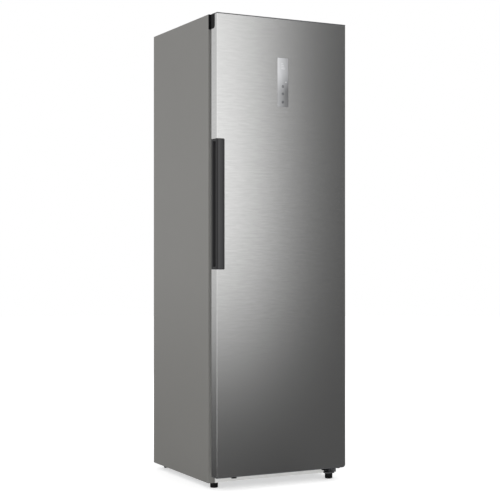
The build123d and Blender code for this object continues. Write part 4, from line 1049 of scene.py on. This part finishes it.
class FRIDGE_OT_pipes(bpy.types.Operator):
    """Make the copper lines with smooth bends, and the filter drier with spun ends"""

    bl_idname = "fridge.pipes"
    bl_label = "Copper lines"

    def execute(self, context):
        sizes = context.scene.fridge_sizes
        pipe_low, pipe_high = corners_of("refrigerant_pipes")
        dry_low, dry_high = corners_of("filter_drier")
        x, y, _ = (dry_low + dry_high) / 2
        suction_x, suction_y = mm(40, 20) + (pipe_low[0], y)
        start, line_z = pipe_low[0], pipe_low[2] + sizes.pipe
        routes = [
            [(start, y, line_z), (x, y, line_z), (x, y, dry_low[2])],
            [(start, suction_y, line_z), (suction_x, suction_y, line_z),
             (suction_x, suction_y, pipe_high[2])],
            [(x, y, dry_high[2]), (x, y, pipe_high[2])],
        ]
        copper = drawn_metal("copper", context.scene.fridge_colours.copper, 0.3, 0.35)
        lines = [loft(tube_grid(bent_path(route, sizes.bend), sizes.pipe)) for route in routes]
        piece("copper_lines", "cabinet", copper, lines, ("refrigerant_pipes",))
        radius, neck, neck_end, shoulder, body = mm(9, 3.6, 4, 10, 14)
        half = [(neck, 0), (neck, neck_end), (radius * 0.8, shoulder), (radius, body)]
        tall = dry_high[2] - dry_low[2]
        profile = half + [(wide, tall - rise) for wide, rise in half[::-1]]
        piece("drier_can", "cabinet", copper, [spun(profile, "up", (x, y, dry_low[2]))],
              ("filter_drier",))
        return {"FINISHED"}


class FRIDGE_OT_bay(bpy.types.Operator):
    """Finish the bay's housings and put the screws on the back"""

    bl_idname = "fridge.bay"
    bl_label = "Compressor bay and back"

    def execute(self, context):
        colours = context.scene.fridge_colours
        black = moulded_plastic("housing_plastic", colours.black, 0.45)
        paint_nodes(black, "black_plastic", "relay_box", "control_box", "mains_inlet")
        tray = moulded_plastic("tray_plastic", colours.tray, 0.4)
        paint_nodes(tray, "white_liner", "evaporation_tray")
        bright = drawn_metal("back_screws", colours.screw, 0.3)
        low, high = corners_of("back_panel")
        inset, head, rise, rim, sunk, past = mm(70, 4, 0.7, 0.2, 0.8, 1)
        dome = [(head, 0), (head, rim), (head * 0.8, rise * 0.8), (head * 0.35, rise)]
        screws = [
            spun(dome, "back", (x, high[1] - sunk, z), 24)
            for x in (high[0] + past) / 3 * np.arange(-2, 3)
            for z in np.linspace(low[2] + inset, high[2] - inset, 4)
        ]
        piece("back_screws", "cabinet", bright, screws)
        return {"FINISHED"}


def blade_grid(centre, root, reach, turn):
    """One fan blade: a thin bowed section carried outward from the hub.

    The pitch falls and the chord grows with the distance out, and the tip's corners are quarter
    circles. The middle line bows by the camber times one less the square of the place across.
    """
    tip, camber, half_thick, root_chord, gain = mm(7, 1.6, 0.8, 10, 2)
    round_off = np.sin(np.radians(np.linspace(0, 90, 8)))
    straight = np.linspace(root, reach - tip, 8)[:-1]
    out = np.concatenate([straight, reach - tip + tip * round_off])[:, None]
    share = (out - root) / (reach - root)
    half_chord = root_chord + gain * share - fall_back(tip, reach - out)
    pitch, angle = np.radians(34 - 8 * share), np.arange(16) * math.pi / 8
    lift = half_thick * np.sin(angle) + camber * (np.sin(angle) ** 2 - 0.5)
    chord = half_chord * np.cos(angle)
    away = chord * np.cos(pitch) - lift * np.sin(pitch)
    deep = chord * np.sin(pitch) + lift * np.cos(pitch)
    sine, cosine = math.sin(turn), math.cos(turn)
    return centre + points_at(out * sine + away * cosine, deep, out * cosine - away * sine)


class FRIDGE_OT_cooling(bpy.types.Operator):
    """Finish the evaporator and the shroud, and make the fan's rotor"""

    bl_idname = "fridge.cooling"
    bl_label = "Evaporator and fan"

    def execute(self, context):
        colours = context.scene.fridge_colours
        fins = drawn_metal("fin_aluminium", colours.fins, 0.35, 0.1)
        paint_nodes(fins, "fin_aluminium", "evaporator")
        copper = drawn_metal("condenser_steel", colours.copper, 0.35, 0.35)
        paint_nodes(copper, "copper", "condenser_pipe")
        white = moulded_plastic("shroud_plastic", colours.liner, 0.35)
        paint_nodes(white, "white_liner", "fan_shroud")
        dark = moulded_plastic("fan_plastic", colours.black, 0.4)
        paint_nodes(dark, "motor", "fan_motor")
        self.rotor(dark)
        return {"FINISHED"}

    def rotor(self, dark):
        """A hub that is turned from its profile, and five blades round it."""
        low, high = corners_of("fan_blades")
        x, _, z = sum(corners_of("fan_motor")) / 2
        nose, radius, shaft, hub_tall, edge, sunk, reach = mm(4, 17, 2, 18, 1, 3, 45.4)
        profile = np.concatenate([
            arc((radius - nose, nose), nose, -90, 0, 6),
            [(radius, hub_tall - edge), (radius - edge, hub_tall),
             (shaft, hub_tall), (shaft, high[1] - low[1])],
        ])
        patches = [spun(profile, "back", (x, low[1], z), 40)]
        centre = np.array([x, low[1] + hub_tall / 2, z])
        for blade in range(5):
            turn = math.radians(72 * blade)
            patches.append(loft(blade_grid(centre, radius - sunk, reach, turn)))
        piece("fan_rotor", "fan", dark, patches, ("fan_blades",))


def cove(radius, tall, round_over):
    """A studio cove round the object: a floor ring that curves up into a drum.

    A row is a place along the cove's section, a column is an angle round the object, measured from
    the front towards the hinge side. The glow at a point is one curve of its height times one of
    its angle: dim near the floor, bright above, dim to the right of the camera, and with a bright
    strip on the wall to the left.
    """
    inner, lift_off, columns = 0.02, 0.003, 180
    right_edge, edge_width, gain, top_dim, back_dim, back_lift = 14.5, 10.4, 1.08, 0.13, 0.42, 0.09
    ground, ground_right, ground_back, strip_glow = 0.06, 0.031, 0.035, 1.3
    bend = np.radians(np.linspace(0, 90, 12))[1:]
    wall = np.linspace(round_over, tall, 60)[1:]
    floor, run = np.linspace(inner, radius - round_over, 30), radius - round_over
    out = np.concatenate([floor, run + round_over * np.sin(bend), np.full(wall.shape, radius)])
    bend_up = round_over - round_over * np.cos(bend)
    up = np.concatenate([np.full(floor.shape, lift_off), bend_up, wall])[:, None]
    angle = np.radians(np.linspace(-180, 178, columns))
    grid = points_at(out[:, None] * np.sin(angle), -out[:, None] * np.cos(angle), up)
    level, degrees = up - (run - np.minimum(out, run))[:, None], np.degrees(angle)
    back = soft_step(np.abs(degrees), 100, 130)
    rise = soft_step(level + back_lift * back, -0.03, 1.12)
    rise = rise * (1 - top_dim * soft_step(level, 1.5, 2.3))
    fall = np.exp(-(np.maximum(degrees - right_edge, 0) / edge_width) ** 2)
    across = np.maximum(fall, soft_step(degrees, 48, 80)) * (1 - back_dim * back)
    low_glow = ground + ground_right * soft_step(degrees, 10, 34) + ground_back * back
    strip = strip_glow * soft_step(-degrees, 40, 55) * (1 - soft_step(-degrees, 75, 95))
    on_wall = soft_step(out, 0.8, 1.9)[:, None]
    return grid, np.maximum(low_glow + gain * rise * across, on_wall * strip)


class FRIDGE_OT_stage(bpy.types.Operator):
    """Set the floor, the reflection cove, the lamps, the world and the camera"""

    bl_idname = "fridge.stage"
    bl_label = "Studio"

    def execute(self, context):
        studio = context.scene.fridge_studio
        self.floor()
        self.reflections()
        self.world(context, studio.ambient)
        self.lamp(context, "key_lamp", studio.key, (-2.6, -3.4, 3.0))
        self.lamp(context, "right_lamp", studio.fill, (3.2, -2.0, 2.6))
        self.lamp(context, "back_lamp", studio.fill, (0.6, 3.6, 2.8))
        self.camera(context, studio)
        context.scene.view_settings.view_transform = "Standard"
        return {"FINISHED"}

    def seen(self, finish):
        """1 for a camera, glossy or transmitted ray, and 0 for the rest."""
        camera, glossy, through = (
            finish.node("ShaderNodeLightPath", output=f"Is {kind} Ray")
            for kind in ("Camera", "Glossy", "Transmission")
        )
        return camera.either(glossy.either(through))

    def floor(self):
        """A wide disc: matte for shadows, with a glow that keeps it as white as the backdrop."""
        radius, thick, near, far = 14.0, 0.001, 1.6, 6.0
        finish = new_finish("floor")
        matte = finish.node("ShaderNodeBsdfDiffuse", inputs={"Color": (0.8, 0.8, 0.8, 1)})
        length_of = {"operation": "LENGTH"}
        away = finish.node("ShaderNodeVectorMath", length_of, {0: finish.point()}, "Value")
        bounce = finish.between(finish.smooth(away, near, far), 0.55, 0.2)
        strength = finish.between(self.seen(finish), bounce, 0.5)
        glow = finish.node("ShaderNodeEmission", inputs={"Strength": strength})
        both = finish.node("ShaderNodeAddShader", inputs={0: matte, 1: glow})
        disc = loft(lathe_grid([(radius, -thick), (radius, 0)], 96))
        made = new_object("floor", *disc, finish.output("Material", both))

    def reflections(self):
        """The cove as a shell that only glossy rays meet."""
        grid, glow = cove(radius=2.4, tall=3.4, round_over=0.25)
        finish = new_finish("reflection_cove")
        strength = finish.attribute("glow")
        light = finish.node("ShaderNodeEmission", inputs={"Strength": strength})
        shell = loft(grid, capped=False)
        made = new_object("reflection_cove", *shell, finish.output("Material", light))
        made.data.shade_smooth()
        spread(made.data, "glow", glow.ravel())
        for kind in ("camera", "diffuse", "transmission", "volume_scatter", "shadow"):
            setattr(made, f"visible_{kind}", False)

    def world(self, context, ambient):
        """White where it is seen, and the ambient level where it only lights."""
        context.scene.world = bpy.data.worlds.new("studio")
        finish = Finish(context.scene.world)
        strength = finish.between(self.seen(finish), ambient, 1.0)
        inputs = {"Color": (1, 1, 1, 1), "Strength": strength}
        finish.output("World", finish.node("ShaderNodeBackground", inputs=inputs))

    def lamp(self, context, name, power, place):
        """A large square lamp that looks at the object's middle and shows in no reflection."""
        width, aim_height = 2.4, 0.9
        light = bpy.data.lights.new(name, "AREA")
        light.energy = power
        light.size = width
        made = bpy.data.objects.new(name, light)
        made.location = place
        x, y, z = np.array([0, 0, aim_height]) - place
        made.rotation_euler = (math.atan2(math.hypot(x, y), -z), 0, math.atan2(-x, y))
        made.visible_glossy = False
        context.scene.collection.objects.link(made)

    def camera(self, context, studio):
        lens = bpy.data.cameras.new("photo_camera")
        lens.lens = studio.lens
        lens.sensor_width = 36.0
        lens.shift_y = studio.shift
        made = bpy.data.objects.new("photo_camera", lens)
        made.location = studio.camera_place
        made.rotation_euler = (math.radians(90), 0, studio.camera_turn)
        context.scene.collection.objects.link(made)
        context.scene.camera = made


STEPS = (
    FRIDGE_OT_cabinet, FRIDGE_OT_liner, FRIDGE_OT_towers, FRIDGE_OT_shelves, FRIDGE_OT_bins,
    FRIDGE_OT_drawers, FRIDGE_OT_door, FRIDGE_OT_handle, FRIDGE_OT_display, FRIDGE_OT_seal,
    FRIDGE_OT_hinges, FRIDGE_OT_feet, FRIDGE_OT_rollers, FRIDGE_OT_compressor, FRIDGE_OT_pipes,
    FRIDGE_OT_bay, FRIDGE_OT_cooling, FRIDGE_OT_stage,
)
GROUPS = {
    "fridge_colours": FridgeColours, "fridge_sizes": FridgeSizes, "fridge_studio": StudioSettings,
}


class FRIDGE_PT_panel(bpy.types.Panel):
    """The refrigerator's settings and its steps, in the order in which they run"""

    bl_idname = "FRIDGE_PT_panel"
    bl_label = "Refrigerator"
    bl_space_type = "VIEW_3D"
    bl_region_type = "UI"
    bl_category = "Refrigerator"

    def draw(self, context):
        for name, group in GROUPS.items():
            column = self.layout.column()
            for entry in group.__annotations__:
                column.prop(getattr(context.scene, name), entry)
        for step in STEPS:
            self.layout.operator(step.bl_idname)


def register():
    for kind in (*GROUPS.values(), *STEPS, FRIDGE_PT_panel):
        bpy.utils.register_class(kind)
    for name, group in GROUPS.items():
        setattr(bpy.types.Scene, name, PointerProperty(type=group))


def unregister():
    for name in GROUPS:
        delattr(bpy.types.Scene, name)
    for kind in reversed((*GROUPS.values(), *STEPS, FRIDGE_PT_panel)):
        bpy.utils.unregister_class(kind)


def main():
    register()
    for step in STEPS:
        module, name = step.bl_idname.split(".")
        getattr(getattr(bpy.ops, module), name)()


if __name__ == "__main__":
    main()
